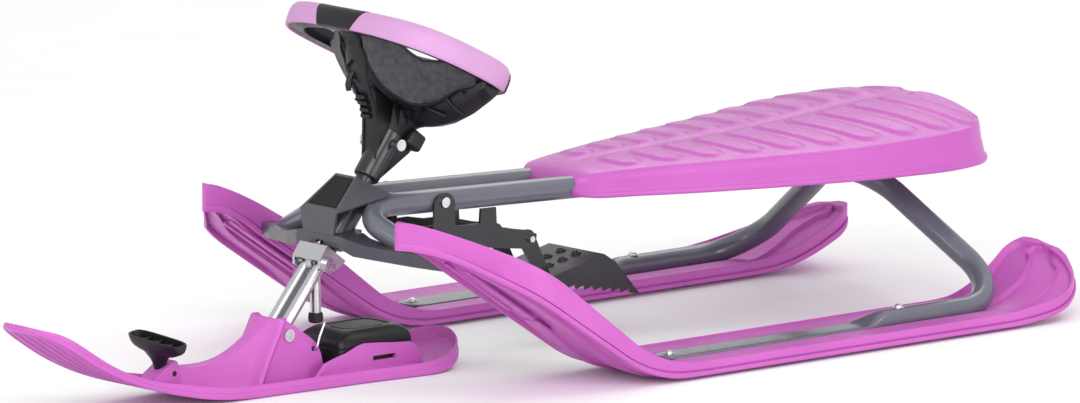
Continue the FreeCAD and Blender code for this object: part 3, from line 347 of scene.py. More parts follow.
# Black rubber for the leg bumper; the same material on the hole discs of the front ski is painted shade
RUBBER_AND_HOLE_SHADE = material("black_rubber_and_hole_shade", (0.018, 0.018, 0.018), (0.012, 0.012, 0.012), 0.7, 0.08, bump=0.25, spec=0.3)

# ------------------------------------------------------------------ rear skis


def arc3(a, m, b, n=10):
    ax, ay = a; mx, my = m; bx, by = b
    d = 2 * (ax * (my - by) + mx * (by - ay) + bx * (ay - my))
    if abs(d) < 1e-9:
        return [b]
    ux = ((ax * ax + ay * ay) * (my - by) + (mx * mx + my * my) * (by - ay) + (bx * bx + by * by) * (ay - my)) / d
    uy = ((ax * ax + ay * ay) * (bx - mx) + (mx * mx + my * my) * (ax - bx) + (bx * bx + by * by) * (mx - ax)) / d
    r = sqrt((ax - ux) ** 2 + (ay - uy) ** 2)
    t0, t1, t2 = atan2(ay - uy, ax - ux), atan2(my - uy, mx - ux), atan2(by - uy, bx - ux)
    while t1 - t0 > pi: t1 -= 2 * pi
    while t1 - t0 < -pi: t1 += 2 * pi
    while t2 - t1 > pi: t2 -= 2 * pi
    while t2 - t1 < -pi: t2 += 2 * pi
    return [(ux + r * cos(lerp(t0, t2, k / n)), uy + r * sin(lerp(t0, t2, k / n))) for k in range(1, n + 1)]


YI, YO, XA, XB, YC = 131.0, 243.0, -588.0, 219.0, 190.0
TIP_SOLE = [(150, 105.7), (160, 112.6), (170, 119.6), (180, 126.4), (190, 132.3), (198, 136.2), (206, 139.2), (214, 141.3), (222, 142.6), (232, 143.2)]
TIP_TOP = [(100.3, 109.8), (112, 117.6), (124, 125.0), (136, 131.8), (147, 138.0), (158, 144.0), (170, 150.0), (182, 155.8), (194, 161.2), (204, 165.2), (212, 168.0), (220, 169.8), (232, 170.8)]


def ski_plan(w):
    yi, yo = YI + w, YO - w
    c = 261.8 - w                                              # slanting front edge: 0.7547 x + 0.656 y = c
    p = [(-478.0, yi)]
    x = 150.0
    while True:
        y = yi + 6.5 * clamp((x - 160.0) / 62.0) ** 2
        if 0.7547 * x + 0.656 * y > c - 3.2:
            break
        p.append((x, y))
        x += 4.0
    s, k = p[-1], ((c - 0.656 * (p[-1][1] + 1.0)) / 0.7547, p[-1][1] + 1.0)
    e = ((c - 0.656 * (k[1] + 7.0)) / 0.7547, k[1] + 7.0)
    for q in range(1, 9):
        u = q / 8.0
        p.append((lerp(lerp(s[0], k[0], u), lerp(k[0], e[0], u), u), lerp(lerp(s[1], k[1], u), lerp(k[1], e[1], u), u)))
    tb = ((c - 0.656 * (214.0 - 0.6 * w)) / 0.7547, 214.0 - 0.6 * w)
    p.append(tb)
    p += arc3(tb, (XB - 77.0 - 0.3 * w, 233.5 - 0.95 * w), (XB - 111.0, yo), 12)
    p.append((XA + 80.0, yo))
    e1 = (XA + 10.0 + 0.9 * w, 203.0 - 0.4 * w)
    p += arc3(p[-1], (XA + 33.0 + 0.5 * w, 232.0 - 0.85 * w), e1, 14)
    e2 = (XA + 1.6 + 0.95 * w, 136.0 + 0.3 * w)
    p += arc3(e1, (XA + w, 172.0), e2, 10)
    p += arc3(e2, (XA + 9.5 + 0.6 * w, 119.5 + 0.8 * w), (XA + 31.0, 117.0 + w), 12)
    return p


def span(plan, x):
    """Least and greatest y of a closed outline at x, or None."""
    ys = []
    n = len(plan)
    for i in range(n):
        a, b = plan[i], plan[(i + 1) % n]
        if (a[0] - x) * (b[0] - x) <= 0 and a[0] != b[0]:
            ys.append(a[1] + (b[1] - a[1]) * (x - a[0]) / (b[0] - a[0]))
    return (min(ys), max(ys)) if len(ys) > 1 else None


def ski_sole(x):
    a, R, x0, Rt, xt = radians(33.1), 150.0, -57.0, 194.0, -470.0
    if x < xt:
        return Rt - sqrt(Rt * Rt - (xt - x) ** 2)
    if x < x0:
        return 0.0
    ex, ez = x0 + R * sin(a), R * (1 - cos(a))
    if x < ex:
        return R - sqrt(R * R - (x - x0) ** 2)
    if x < 150.0:
        return ez + (x - ex) * tan(a)
    return table(TIP_SOLE, x)[0]


def ski_top(x):
    h, xt, xe = 15.5, -450.0, -596.0
    R1, t1 = 150.0, radians(37)
    if x < xt:
        return h + 262.0 - sqrt(262.0 ** 2 - (xt - x) ** 2)
    if x < -75.0:
        return h
    e1 = (-75.0 + R1 * sin(t1), h + R1 * (1 - cos(t1)))
    if x < e1[0]:
        return h + R1 - sqrt(R1 * R1 - (x + 75.0) ** 2)
    e2 = (e1[0] + 85.0, e1[1] + 85.0 * tan(t1))
    if x < e2[0]:
        return e1[1] + (x - e1[0]) * tan(t1)
    return table(TIP_TOP, x)[0]


P_OUT, P_IN = ski_plan(0.0), ski_plan(5.0)
XM = max(q[0] for q in P_OUT)


def ski_ring(x):
    yi, yo = span(P_OUT, x)
    w = yo - yi
    q = span(P_IN, x)
    zs, zt = ski_sole(x), ski_top(x)
    if x > XM - 7.0:                                           # rounded upper corner of the tip
        zt -= 7.0 - sqrt(max(0.0, 49.0 - (x - XM + 7.0) ** 2))
    mid = ss(-505, -470, x) * (1 - ss(-70, -15, x))
    hollow = ss(15, 85, x) * (1 - ss(206, 223, x))
    d = lerp(5.0, 14.0, mid) + 5.0 * hollow
    deck = lerp(min(zs + d, zt - 0.6), zt - 4.6, 1 - ss(-572, -500, x))
    chan = lerp(0.0, lerp(9.0, 4.6, 1 - ss(-350, -318, x)), ss(-500, -470, x) * (1 - ss(-62, -40, x)))
    if q is None or q[1] - q[0] < 9:
        c = 0.5 * (yi + yo)
        qi, qo = c - 0.15 * w, c + 0.15 * w
        deck, chan = zt - 0.3, 0.0
    else:
        qi, qo = q
    qw = qo - qi
    k = min(1.0, qw / 90.0)
    yc = clamp(YC - 4.0, qi + 0.5 * qw - 8, qi + 0.5 * qw + 8) if k >= 1 else 0.5 * (qi + qo)
    cw = 18.5 * k
    lobe = 4.2 * (1 - ss(-512, -474, x)) * ss(-588.6, -585.5, x)
    tip = 3.0 * ss(30, 70, x) * (1 - ss(190, 214, x))
    hw = zt - zs
    st = min(7.6, 0.45 * hw)
    g = min(2.4, 0.16 * hw) * min(1.0, w / 60.0)
    fl = deck - chan
    rec = 6.0 * hollow * min(1.0, w / 60.0)
    up = max(0.0, min(max(lobe, tip), zt - 0.5 - deck))
    pts = [
        (yo - 2.2 * k, zs + g), (yo - 0.6, zs + g + 0.6), (yo, zs + g + 1.8), (yo, zs + st - 0.8), (yo - 0.6, zs + st), (yo - 3.6 * k, zs + st + 0.3),
        (yo - 3.7 * k, zs + st + 1.3), (yo - 2.2 * k, zs + st + 1.9), (yo - 2.5 * k, lerp(zs + st, zt, 0.65)), (yo - 2.8 * k, zt - 1.2), (yo - 3.3 * k, zt - 0.3), (yo - 4.0 * k, zt),
        (qo + 0.4, zt - 0.2), (qo - 0.2 * k, zt - 0.8), (qo - 0.8 * k, lerp(deck, zt, 0.35)), (qo - 2.6 * k, deck + 0.1), (qo - 5.0 * k, deck),
        (yc + cw + 3.5 * k, deck), (yc + cw + 1.2 * k, deck + up), (yc + cw, deck + up - 0.4 * k), (yc + cw - 0.6 * k, lerp(fl, deck + up, 0.4)), (yc + cw - 1.8 * k, fl + 0.05),
        (yc + 6 * k, fl), (yc - 6 * k, fl),
        (yc - cw + 1.8 * k, fl + 0.05), (yc - cw + 0.6 * k, lerp(fl, deck + up, 0.4)), (yc - cw, deck + up - 0.4 * k), (yc - cw - 1.2 * k, deck + up), (yc - cw - 3.5 * k, deck),
        (qi + 5.0 * k, deck), (qi + 2.6 * k, deck + 0.1), (qi + 0.8 * k, lerp(deck, zt, 0.35)), (qi + 0.2 * k, zt - 0.8), (qi - 0.4, zt - 0.2),
        (yi + 4.0 * k, zt), (yi + 3.3 * k, zt - 0.3), (yi + 2.8 * k, zt - 1.2), (yi + 2.5 * k, lerp(zs + st, zt, 0.65)), (yi + 2.2 * k, zs + st + 1.9), (yi + 3.7 * k, zs + st + 1.3),
        (yi + 3.6 * k, zs + st + 0.3), (yi + 0.6, zs + st), (yi, zs + st - 0.8), (yi, zs + g + 1.8), (yi + 0.6, zs + g + 0.6), (yi + 2.2 * k, zs + g)]
    # sole: two runner ridges
    pts += [(yi + 4.6 * k, zs + g), (yi + 5.8 * k, zs + g + 0.3 * rec), (yi + 6.4 * k, zs + g + rec)]
    rr = 0.62 * rec
    for a, b in ((0.24, 0.36), (0.64, 0.76)):
        pts += [(yi + w * (a - 0.012), zs + g + rec), (yi + w * a, zs + 0.2 + rr), (yi + w * (a + 0.02), zs + rr), (yi + w * (b - 0.02), zs + rr), (yi + w * b, zs + 0.2 + rr),
                (yi + w * (b + 0.012), zs + g + rec)]
    pts += [(yo - 6.4 * k, zs + g + rec), (yo - 5.8 * k, zs + g + 0.3 * rec), (yo - 4.6 * k, zs + g)]
    tw = ss(-480, -588, x) * 9.0
    return [V(x, y, z + tw * clamp((186.0 - y) / 56.0, -1, 1.25) * (0.35 + 0.65 * clamp((z - zs) / max(hw, 1)))) for y, z in pts]


def stations(a, b, n, soft_a=True, soft_b=True):
    out = []
    for i in range(n + 1):
        t = i / n
        out.append(t)
    return [lerp(a, b, t) for t in out]


xs = [XA + 0.35, XA + 0.9, XA + 1.8, XA + 3, XA + 4.2, XA + 5.2, XA + 6.2, XA + 7.5, XA + 9, XA + 11, XA + 13.5, XA + 16.5, XA + 20, XA + 24, XA + 29, XA + 35, XA + 41, XA + 48, XA + 56,
      XA + 65, XA + 76, XA + 88, -490, -482, -478, -474, -466, -456, -444, -430, -405, -380, -362, -350, -342, -334, -326, -318, -300, -260, -220, -180, -140, -110, -90, -78, -68, -60, -54, -47, -40, -32, -24, -16, -8]
xs += [0 + 10 * i for i in range(17)] + [166, 172, 178, 184, 190, 195, 200, 204, 207.5]
xm = XM
xs += [x for x in (210.5, 213.5, 216.0, 218.0) if x < xm - 6.5] + [xm - 6.0, xm - 4.6, xm - 3.4, xm - 2.4, xm - 1.6, xm - 0.9, xm - 0.4]
ski = Shape().add(loft([ski_ring(x) for x in xs]))


def tip_ribs():
    """Two slim bars and a pad moulded under the rising tip."""
    s = Shape()
    a = radians(33.5)
    for y0, x0, x1, wd, h in ((156, 96, 176, 6, 3.0), (176, 84, 168, 6, 3.0), (166, 62, 80, 22, 2.6)):
        L = (x1 - x0) / cos(a)
        m = place(((x0 + x1) / 2, y0, ski_sole((x0 + x1) / 2) + 3.6), (-sin(a), 0, cos(a)), (cos(a), 0, sin(a)))
        s.add(rbox(L, wd, h, 1.2), m)
    return s


ribs = tip_ribs()
ski.add((ribs.v, ribs.f))
piece("rear_ski_left_body", ski, PINK, "frame", ("rear_ski_left",), sharp=40)
piece("rear_ski_right_body", mirror(ski), PINK, "frame", ("rear_ski_right",), sharp=40)

# ------------------------------------------------------------------ frame tubes


def frame_tube():
    pts = [V(154, 102, 123), V(172, 31, 155), V(142, 29.5, 162.2), V(-380, 29.5, 142.73), V(-475, 29.5, 126), V(-512, 192, 16.2), V(-350, 192, 16.2), V(-66, 189, 11.9)]
    path = bend_path(pts[:7], [23.0, 14.0, 150.0, 50.0, 55.0], 4.0)
    n = 28
    fr = frames(path)
    rings = []
    for i, p in enumerate(path):
        t, u, w = fr[i]
        rings.append([p + u * (11 * cos(2 * pi * k / n)) + w * (11 * sin(2 * pi * k / n)) for k in range(n)])
    # last ring re-cut in a fixed order, then the tube is pressed flat into a strip
    t, u, w = fr[-1]
    ph = atan2(w.z, u.z)
    rings2 = []
    for x, f in [(-346, 0.0), (-341, 0.05), (-336, 0.16), (-331, 0.36), (-326, 0.6), (-321, 0.8), (-316, 0.93), (-310, 0.99), (-304, 1.0), (-250, 1.0), (-180, 1.0), (-120, 1.0), (-84, 1.0),
                 (-76, 1.0), (-71, 1.0), (-67, 1.0), (-64, 1.0), (-62.6, 1.0), (-62, 1.0)]:
        e = clamp((x + 80) / 18.0)
        hw = lerp(11.0, 17.3, f) * sqrt(max(0.02, 1 - e * e))
        hh = lerp(11.0, 2.6, f)
        zc = lerp(16.2, 12.9, f)
        yc = lerp(192.0, 186.5, f)
        ring = []
        for k in range(n):
            ang = 2 * pi * k / n
            d = u * cos(ang) + w * sin(ang)
            cy, cz = d.y, d.z
            pw = lerp(1.0, 0.45, f)
            yy = (abs(cy) ** pw) * (1 if cy >= 0 else -1)
            zz = (abs(cz) ** pw) * (1 if cz >= 0 else -1)
            ring.append(V(x, yc + hw * yy, zc + hh * zz))
        rings2.append(ring)
    return Shape().add(loft(rings + rings2))


ft = frame_tube()
piece("frame_tube_left_body", ft, SLATE, "frame", ("frame_tube_left",), sharp=50)
piece("frame_tube_right_body", mirror(ft), SLATE, "frame", ("frame_tube_right",), sharp=50)

# domed bolts holding the feet
DOME = [(0, 3.0), (1.5, 2.9), (2.9, 2.3), (3.8, 1.4), (4.2, 0.5), (4.2, 0), (5.4, 0), (5.6, -0.4), (5.4, -1.2), (2.8, -1.2), (2.8, -10), (0, -10)]
bolts = Shape()
for s in (1, -1):
    bolts.add(lathe(DOME, 24), place((-363, s * 192, 27.6)))
    bolts.add(lathe(DOME, 24), place((-76, s * 186.5, 16.4)))
piece("ski_bolt_heads", bolts, BRIGHT, "frame", ("ski_bolts",), sharp=40)

# ------------------------------------------------------------------ seat
# station, lip half width, lip height, shoulder half width, shoulder height, crown height
SEAT = [(-577.5, 22, 140, 16, 150, 151), (-576.6, 36, 140, 28, 158, 160), (-575, 50, 140, 42, 165, 168.5), (-572.5, 63, 140, 54, 169.8, 178.2), (-569, 76, 140, 66, 172.8, 184), (-563, 92.5, 140, 81, 175, 189),
        (-553, 109, 140, 96.5, 175.8, 191.6), (-540, 122.5, 140, 109.5, 176, 192.6), (-526, 131.5, 140, 118.5, 175.6, 192.8), (-514, 136.5, 140, 123.5, 175.2, 192.4), (-480, 143, 140, 130, 174.2, 191), (-448, 141.5, 140, 128.5, 173, 188.6),
        (-366, 128, 140.2, 115, 170.4, 182.5), (-213, 90, 142.2, 77, 169.8, 176.2), (-140, 69, 144, 56.5, 168.6, 173.4), (-114, 62.5, 144.6, 49, 167.5, 171.6), (-100, 58.5, 145.2, 44, 166.6, 170),
        (-91, 54, 146, 38, 164.6, 167.6), (-86, 49, 146.6, 33, 161.6, 164), (-83, 43, 147, 28, 158, 160), (-81.5, 34, 147.4, 22, 155, 156.4)]


def seat_pad(x, y):
    """Height of the raised pads across the top."""
    ay = abs(y)
    h = 0.0
    for k in range(11):
        x0 = -146.0 - 40.0 * k
        hw = table(SEAT, x0)[2]
        a, b = 11.0, hw - 7.0
        if b - a < 18:
            continue
        xc = x0 - (ay - a) * 0.21
        half = 14.4
        ex = abs(x - xc)
        # rounded bar: distance to its middle line
        mid0, mid1 = a + half, b - half
        if mid1 < mid0:
            mid0 = mid1 = 0.5 * (a + b)
        ey = max(0.0, mid0 - ay, ay - mid1)
        dd = sqrt(ex * ex + ey * ey)
        h = max(h, 2.3 * (1 - ss(half - 3.8, half + 0.4, dd)))
    return h


def seat_mesh():
    xs_ = sorted(set([-577.5, -577, -576, -574.5, -572.5, -570, -567, -563, -558.5] + [-554 + 3.0 * i for i in range(150)] + [-104, -101, -98, -95, -92.3, -89.8, -87.4, -85.4, -83.8, -82.6, -81.8]))
    rings = []
    for x in xs_:
        if x > -81.5:
            continue
        hl, zl, hs, zsd, zc = table(SEAT, x)
        n_top = 64
        ring = []
        # near side from the lip up: lip flange, wall, shoulder round
        side = [(hl - 2.5, zl - 0.2), (hl - 0.6, zl), (hl, zl + 0.9), (hl, zl + 3.6), (hl - 0.6, zl + 4.6), (hl - 3.0, zl + 5.4), (hl - 4.0, zl + 6.6)]
        y0, z0 = hl - 4.0, zl + 6.6
        e = min(15.0, 0.52 * (zsd - z0))
        wall_top = (lerp(y0, hs, 0.58), zsd - e)
        side += [(lerp(y0, wall_top[0], 0.33), lerp(z0, wall_top[1], 0.36)), (lerp(y0, wall_top[0], 0.66), lerp(z0, wall_top[1], 0.7)), wall_top]
        for k in range(1, 6):
            t = k / 6.0
            side.append((lerp(lerp(wall_top[0], wall_top[0] - (y0 - wall_top[0]) * 0.45, t), lerp(wall_top[0] - (y0 - wall_top[0]) * 0.45, hs, t), t),
                         lerp(lerp(wall_top[1], zsd + 0.4, t), lerp(zsd + 0.4, zsd, t), t)))
        top = []
        for k in range(n_top + 1):
            y = lerp(hs, -hs, k / n_top)
            u = y / max(hs, 1)
            z = zsd + (zc - zsd) * (1 - abs(u) ** 2.2)
            # shallow groove down the middle
            z -= 1.6 * (1 - ss(3.0, 9.0, abs(y))) * ss(-556, -530, x) * (1 - ss(-130, -110, x))
            top.append((y, z + seat_pad(x, y)))
        outer = side + top + [(-a, b) for a, b in reversed(side)]
        inner = [(-(hl - 4.5), zl + 1.5), (-(wall_top[0] - 4.5), wall_top[1] - 1), (-(hs - 1.0), zsd - 5.0)]
        for k in range(1, 8):
            y = lerp(-(hs - 1.0), hs - 1.0, k / 8.0)
            u = y / max(hs, 1)
            inner.append((y, zsd - 5.0 + (zc - zsd) * (1 - abs(u) ** 2.2)))
        inner += [(hs - 1.0, zsd - 5.0), (wall_top[0] - 4.5, wall_top[1] - 1), (hl - 4.5, zl + 1.5)]
        rings.append([V(x, y, z) for y, z in outer + inner])
    return Shape().add(loft(rings))


piece("seat_shell_body", seat_mesh(), PINK_SEAT, "frame", ("seat_shell",), sharp=55)

# ------------------------------------------------------------------ steering wheel
WR = radians(26.5)
FW, UPN = V(cos(WR), 0, sin(WR)), V(-sin(WR), 0, cos(WR))
RIMC = V(99.6, 0, 304.3)
RK = radians(37.0)
AX = V(-sin(RK), 0, cos(RK))
AXP = V(cos(RK), 0, sin(RK))


def on_axis(z):
    k = (z - 153.0) / AX.z
    return V(165.1 + AX.x * k, 0, z)


def rp(u, y, n):
    """Point in the rim's own plane."""
    return RIMC + FW * u + V(0, y, 0) + UPN * n


def oval(t, o=10.0):
    """Squarish oval of the rim, inset by o; t is measured from the front to the left."""
    e = 2.0 / 2.82
    c, d = cos(t), sin(t)
    return ((86.7 - o) * (1 if c >= 0 else -1) * abs(c) ** e, (114.8 - o) * (1 if d >= 0 else -1) * abs(d) ** e)


def t_of_arc(n):
    """Evenly spaced stations round half the rim, front to rear."""
    m = 2000
    pts = [oval(pi * k / m) for k in range(m + 1)]
    L = [0.0]
    for a, b in zip(pts, pts[1:]):
        L.append(L[-1] + sqrt((a[0] - b[0]) ** 2 + (a[1] - b[1]) ** 2))
    out, j = [], 0
    for i in range(n + 1):
        s = L[-1] * i / n
        while j < m - 1 and L[j + 1] < s:
            j += 1
        f = (s - L[j]) / max(L[j + 1] - L[j], 1e-9)
        out.append(pi * (j + clamp(f)) / m)
    return out


ARC = t_of_arc(120)


def t_at(s):
    """Rim parameter from s: 0 at the front, 1 at the rear, negative on the right."""
    a = abs(s) * 120
    i = min(int(a), 119)
    return (1 if s >= 0 else -1) * lerp(ARC[i], ARC[i + 1], a - i)


def rim_section(s, sec):
    """Section points (out, n) set square to the rim line."""
    u0, y0 = oval(t_at(s - 0.006))
    u1, y1 = oval(t_at(s + 0.006))
    u, y = oval(t_at(s))
    tx, ty = u1 - u0, y1 - y0
    L = sqrt(tx * tx + ty * ty)
    ox, oy = ty / L, -tx / L
    hs = lerp(0.90, 1.05, ss(0.04, 0.35, abs(s)))
    return [rp(u + ox * o, y + oy * o, n * hs) for o, n in sec]


GRIP_SEC = [(8.6, -11.6), (9.6, -10.8), (10.0, -8.6), (10.4, -3.0), (10.3, 2.6), (9.2, 7.0), (6.6, 10.4), (2.8, 12.0), (-2.4, 11.9), (-6.4, 10.2), (-8.8, 7.2), (-9.8, 3.2), (-8.0, 2.2), (-4.0, 2.0),
            (3.6, 1.8), (4.6, -3.0), (5.2, -9.6), (6.6, -11.4)]
CORE_SEC = [(5.0, -10.2), (4.8, -3.0), (4.0, 2.4), (1.0, 4.6), (-6.0, 4.2), (-8.6, 2.6), (-9.7, -2.0), (-9.4, -8.0), (-8.0, -10.4), (-2.0, -11.0)]
MID_SEC = [(8.6, -11.9), (9.9, -10.9), (10.3, -8.6), (10.7, -3.0), (10.6, 2.6), (9.5, 7.2), (6.8, 10.7), (2.8, 12.3), (-2.4, 12.2), (-6.5, 10.5), (-9.0, 7.4), (-10.0, 3.0), (-10.0, -4.0), (-9.4, -9.0),
           (-7.6, -11.2), (-1.0, -11.9)]


def s_where(f):
    lo_, hi_ = 0.0, 1.0
    for _ in range(40):
        m_ = 0.5 * (lo_ + hi_)
        if f(*oval(t_at(m_), 0.0)):
            lo_ = m_
        else:
            hi_ = m_
    return 0.5 * (lo_ + hi_)


S0 = s_where(lambda u, y: y < 31.0 and u > 0)
S1 = s_where(lambda u, y: u > -60.0)


def grip():
    rings = []
    n = 60
    for i in range(n + 1):
        s = lerp(S0, S1, i / n)
        e = clamp((s - (S1 - 0.045)) / 0.045)
        k = sqrt(max(0.02, 1 - e * e))
        sec = [(o * (0.75 + 0.25 * k), q * (0.80 + 0.20 * k)) for o, q in GRIP_SEC]
        ring = rim_section(s, sec)
        if i < 8:
            f = 1 - i / 8.0
            ring = [p + V(-0.06 * q[1] * f, q[1] * 0.46 * f, 0) for p, q in zip(ring, sec)]
        rings.append(ring)
    return Shape().add(loft(rings))


gl = grip()
piece("wheel_grip_left_skin", gl, GRIP, "steering", ("wheel_grip_left",), sharp=50)
piece("wheel_grip_right_skin", mirror(gl), GRIP, "steering", ("wheel_grip_right",), sharp=50)

core = Shape()
core.add(loft([rim_section(lerp(-S1 - 0.02, S1 + 0.02, i / 120), CORE_SEC) for i in range(121)]))
rings = []
for i in range(33):
    s = lerp(-S0 * 0.985, S0 * 0.985, i / 32)
    ring = rim_section(s, MID_SEC)
    f = clamp((abs(s) / S0 - 0.6) / 0.4)
    rings.append([p + V(-0.06 * q[1] * f, q[1] * 0.45 * f * (1 if s > 0 else -1), 0) for p, q in zip(ring, MID_SEC)])
core.add(loft(rings))
rear = [lerp(S1 + 0.004, 1.0, i / 30) for i in range(31)] + [-lerp(1.0, S1 + 0.004, i / 30) for i in range(1, 31)]
core.add(loft([rim_section(s, [(o * 0.97, q * 0.86) for o, q in MID_SEC]) for s in rear]))

# bowl of the hub: loops round the middle, given as angle from the front, u, y, n on the left side
LOOP_TOP = [(0, 66, 0, -7), (12, 65, 14, -7), (30, 55, 31, -4), (48, 41, 48, -5), (60, 32, 57, -9.5), (70, 23, 66, -11.5), (82, 13, 82, -7), (95, 0, 95, -6), (110, -20, 98, -7), (128, -46, 87, -8), (150, -62, 50, -9), (180, -66, 0, -9)]
LOOP_RIDGE = [(0, 60, 0, -19), (12, 55, 15, -20), (30, 41.8, 16.5, -31.6), (48, 20.3, 24, -45.2), (60, -2, 37, -50.4), (70, -10.5, 50, -47.6), (82, -16.4, 63, -39.6), (95, -18.8, 77, -26.6), (110, -30.6, 90, -16.4), (128, -48, 80, -15), (150, -61, 50, -18), (180, -64, 0, -20)]
LOOP_IN = [(0, 50, 0, -30), (12, 44, 11, -36), (30, 31, 13, -42), (48, 12, 19, -50), (60, -8, 29, -54), (70, -17, 39, -52), (82, -25, 50, -46), (95, -31, 64, -36), (110, -40, 80, -22), (128, -49, 74, -20), (150, -56, 44, -28), (180, -58, 0, -32)]


def loop(rows, n=72, f=None):
    out = []
    for k in range(n):
        a = 360.0 * k / n
        s = 1
        if a > 180:
            a, s = 360 - a, -1
        u, y, q = table(rows, a)
        if f:
            u, y, q = f(u, y, q)
        out.append(rp(u, s * y, q))
    return out


def axis_loop(z, ru, ry, off=0.0, n=72):
    return [on_axis(z) + AXP * (off + ru * cos(2 * pi * k / n)) + V(0, ry * sin(2 * pi * k / n), 0) for k in range(n)]


def toward(k, drop):
    return lambda u, y, q: (lerp(-6, u, k), y * k, q + drop)


core.add(loft([axis_loop(222, 13, 13), axis_loop(232, 16, 17), axis_loop(240, 22, 24, -2), loop(LOOP_IN, f=toward(0.86, 0.5)), loop(LOOP_IN), loop(LOOP_RIDGE, f=lambda u, y, q: (u - 1.0, y - 0.8, q + 1.4 if q < -12 else q)),
               loop(LOOP_RIDGE), loop(LOOP_RIDGE, f=lambda u, y, q: (u + 0.2, y + 0.1, q + 2.0)),
               loop(LOOP_TOP, f=lambda u, y, q: (u - 0.8, y - 0.6, q - 2.0)), loop(LOOP_TOP), loop(LOOP_TOP, f=lambda u, y, q: (u - 1.6, y - 1.4, q + 0.7)), loop(LOOP_TOP, f=toward(0.9, -1.5)), loop(LOOP_TOP, f=toward(0.7, -11)),
               loop(LOOP_TOP, f=toward(0.45, -19)), loop(LOOP_TOP, f=toward(0.2, -22)), loop(LOOP_TOP, f=toward(0.04, -22.5))]))
XZ = Matrix(((1, 0, 0, 0), (0, 0, -1, 0), (0, 1, 0, 0), (0, 0, 0, 1)))     # sketch (x, z) laid in the upright middle plane
# rib from the sleeve up to the front of the rim, thicker at the top, and the two fins of the sleeve
core.add(slab([(176, 336), (164, 326), (157, 312), (153, 299), (151.5, 282), (148, 274), (128, 270), (128, 296), (146, 318), (160, 332)], -12.5, 12.5, 2.0, 2), XZ)
core.add(slab([(152, 300), (151, 280), (144.5, 268.5), (138.5, 255), (136, 243), (136, 230), (136.8, 212), (138, 194), (142.5, 185.5), (128, 190), (104, 222), (92, 250), (112, 284), (140, 304)], -9.0, 9.0, 1.6, 2), XZ)
q1, q2, q3, q4 = on_axis(186) - AXP * 11, on_axis(221) - AXP * 30, on_axis(238) - AXP * 31, on_axis(240)
core.add(slab([(on_axis(186).x, 186), (q1.x, q1.z), (q2.x, q2.z), (q3.x, q3.z), (q4.x, q4.z)], -4.5, 4.5, 1.2, 2), XZ)
# thin edge ribs on both faces of the front fin
for s in (1, -1):
    core.add(tube([V(137.6, s * 8.6, 192), V(136.4, s * 8.8, 214), V(135.8, s * 9.0, 240), V(139, s * 9.6, 256), V(145, s * 10.5, 269), V(151, s * 12, 282), V(153, s * 12.4, 300), V(159, s * 12.6, 316)], 1.5, 8))
# hook and small teeth down the front of the rib
core.add(tube([V(149, -7, 287), V(153.5, -8, 281), V(155.4, -8, 274), V(155, -8, 268.5)], [3.0, 3.2, 3.2, 2.6], 12))
for x, z in ((143.5, 262), (141, 256), (138.5, 249), (137.5, 243)):
    core.add(rbox(6, 12, 4.2, 1.2), place((x, -3, z)))
# block behind the sleeve
core.add(rbox(19, 40, 17, 3.0), place((93.5, 0, 217), AX, AXP))
# broad rear spokes, each with three ribs on its underside
for s in (1, -1):
    sp = []
    for y, x0, x1, z0, z1 in ((18, 68, 112, 229, 262), (36, 68, 106, 231, 266), (55, 68, 99, 236.5, 270), (75, 67, 92, 246, 275), (92, 62, 84, 259, 280), (100, 60, 79, 266, 283)):
        sp.append([V(x0, s * y, z1), V(x0 - 0.5, s * y, lerp(z0, z1, 0.4)), V(x0 + 3, s * y, z0 + 2), V(x0 + 9, s * y, z0), V(lerp(x0, x1, 0.6), s * y, z0 + 1), V(x1 - 3, s * y, lerp(z0, z1, 0.35)), V(x1, s * y, lerp(z0, z1, 0.6)), V(x1 - 2, s * y, z1)])
    core.add(loft(sp))
    for a, b, r in (((104, 30, 247), (80, 88, 266), 1.7), ((96, 28, 232.5), (73, 82, 254.5), 1.7), ((112, 30, 262), (95, 62, 246), 1.5), ((100, 66, 266), (84, 74, 247.5), 1.5), ((90, 82, 271), (76, 83, 256.5), 1.5)):
        core.add(tube([V(a[0], s * a[1], a[2]), V(lerp(a[0], b[0], 0.5) + 0.6, s * lerp(a[1], b[1], 0.5), lerp(a[2], b[2], 0.5) - 1.2), V(b[0], s * b[1], b[2])], r, 8))
    # upright ribs between the sleeve and the ridge
    for (u, y, q), (x, yy, z) in (((20, 36, -50), (112, 14, 232)), ((2, 50, -53), (104, 17, 234)), ((-6, 66, -48), (98, 20, 236))):
        b = V(x, s * yy, z)
        a = rp(u, s * y, q).lerp(b, 0.36)
        c = a.lerp(b, 0.3) + V(0, 0, 10)
        d = b + V(-3, 0, 14)
        w = V(1.2, s * 0.5, 0)
        core.add(loft([[a - w, b - w, d - w, c - w], [a + w, b + w, d + w, c + w]]))
piece("wheel_core_body", core, BLACK, "steering", ("wheel_core",), sharp=36)
# glossy sleeve over the column
sl = Shape().add(lathe([(9.2, 0), (11.6, 0), (12.4, 0.7), (12.7, 2), (12.8, 14), (13.2, 34), (13.8, 52), (14.5, 66), (9.2, 68)], 44), place(on_axis(184.5), AX))
piece("wheel_sleeve", sl, BRAKE, "steering", sharp=40)
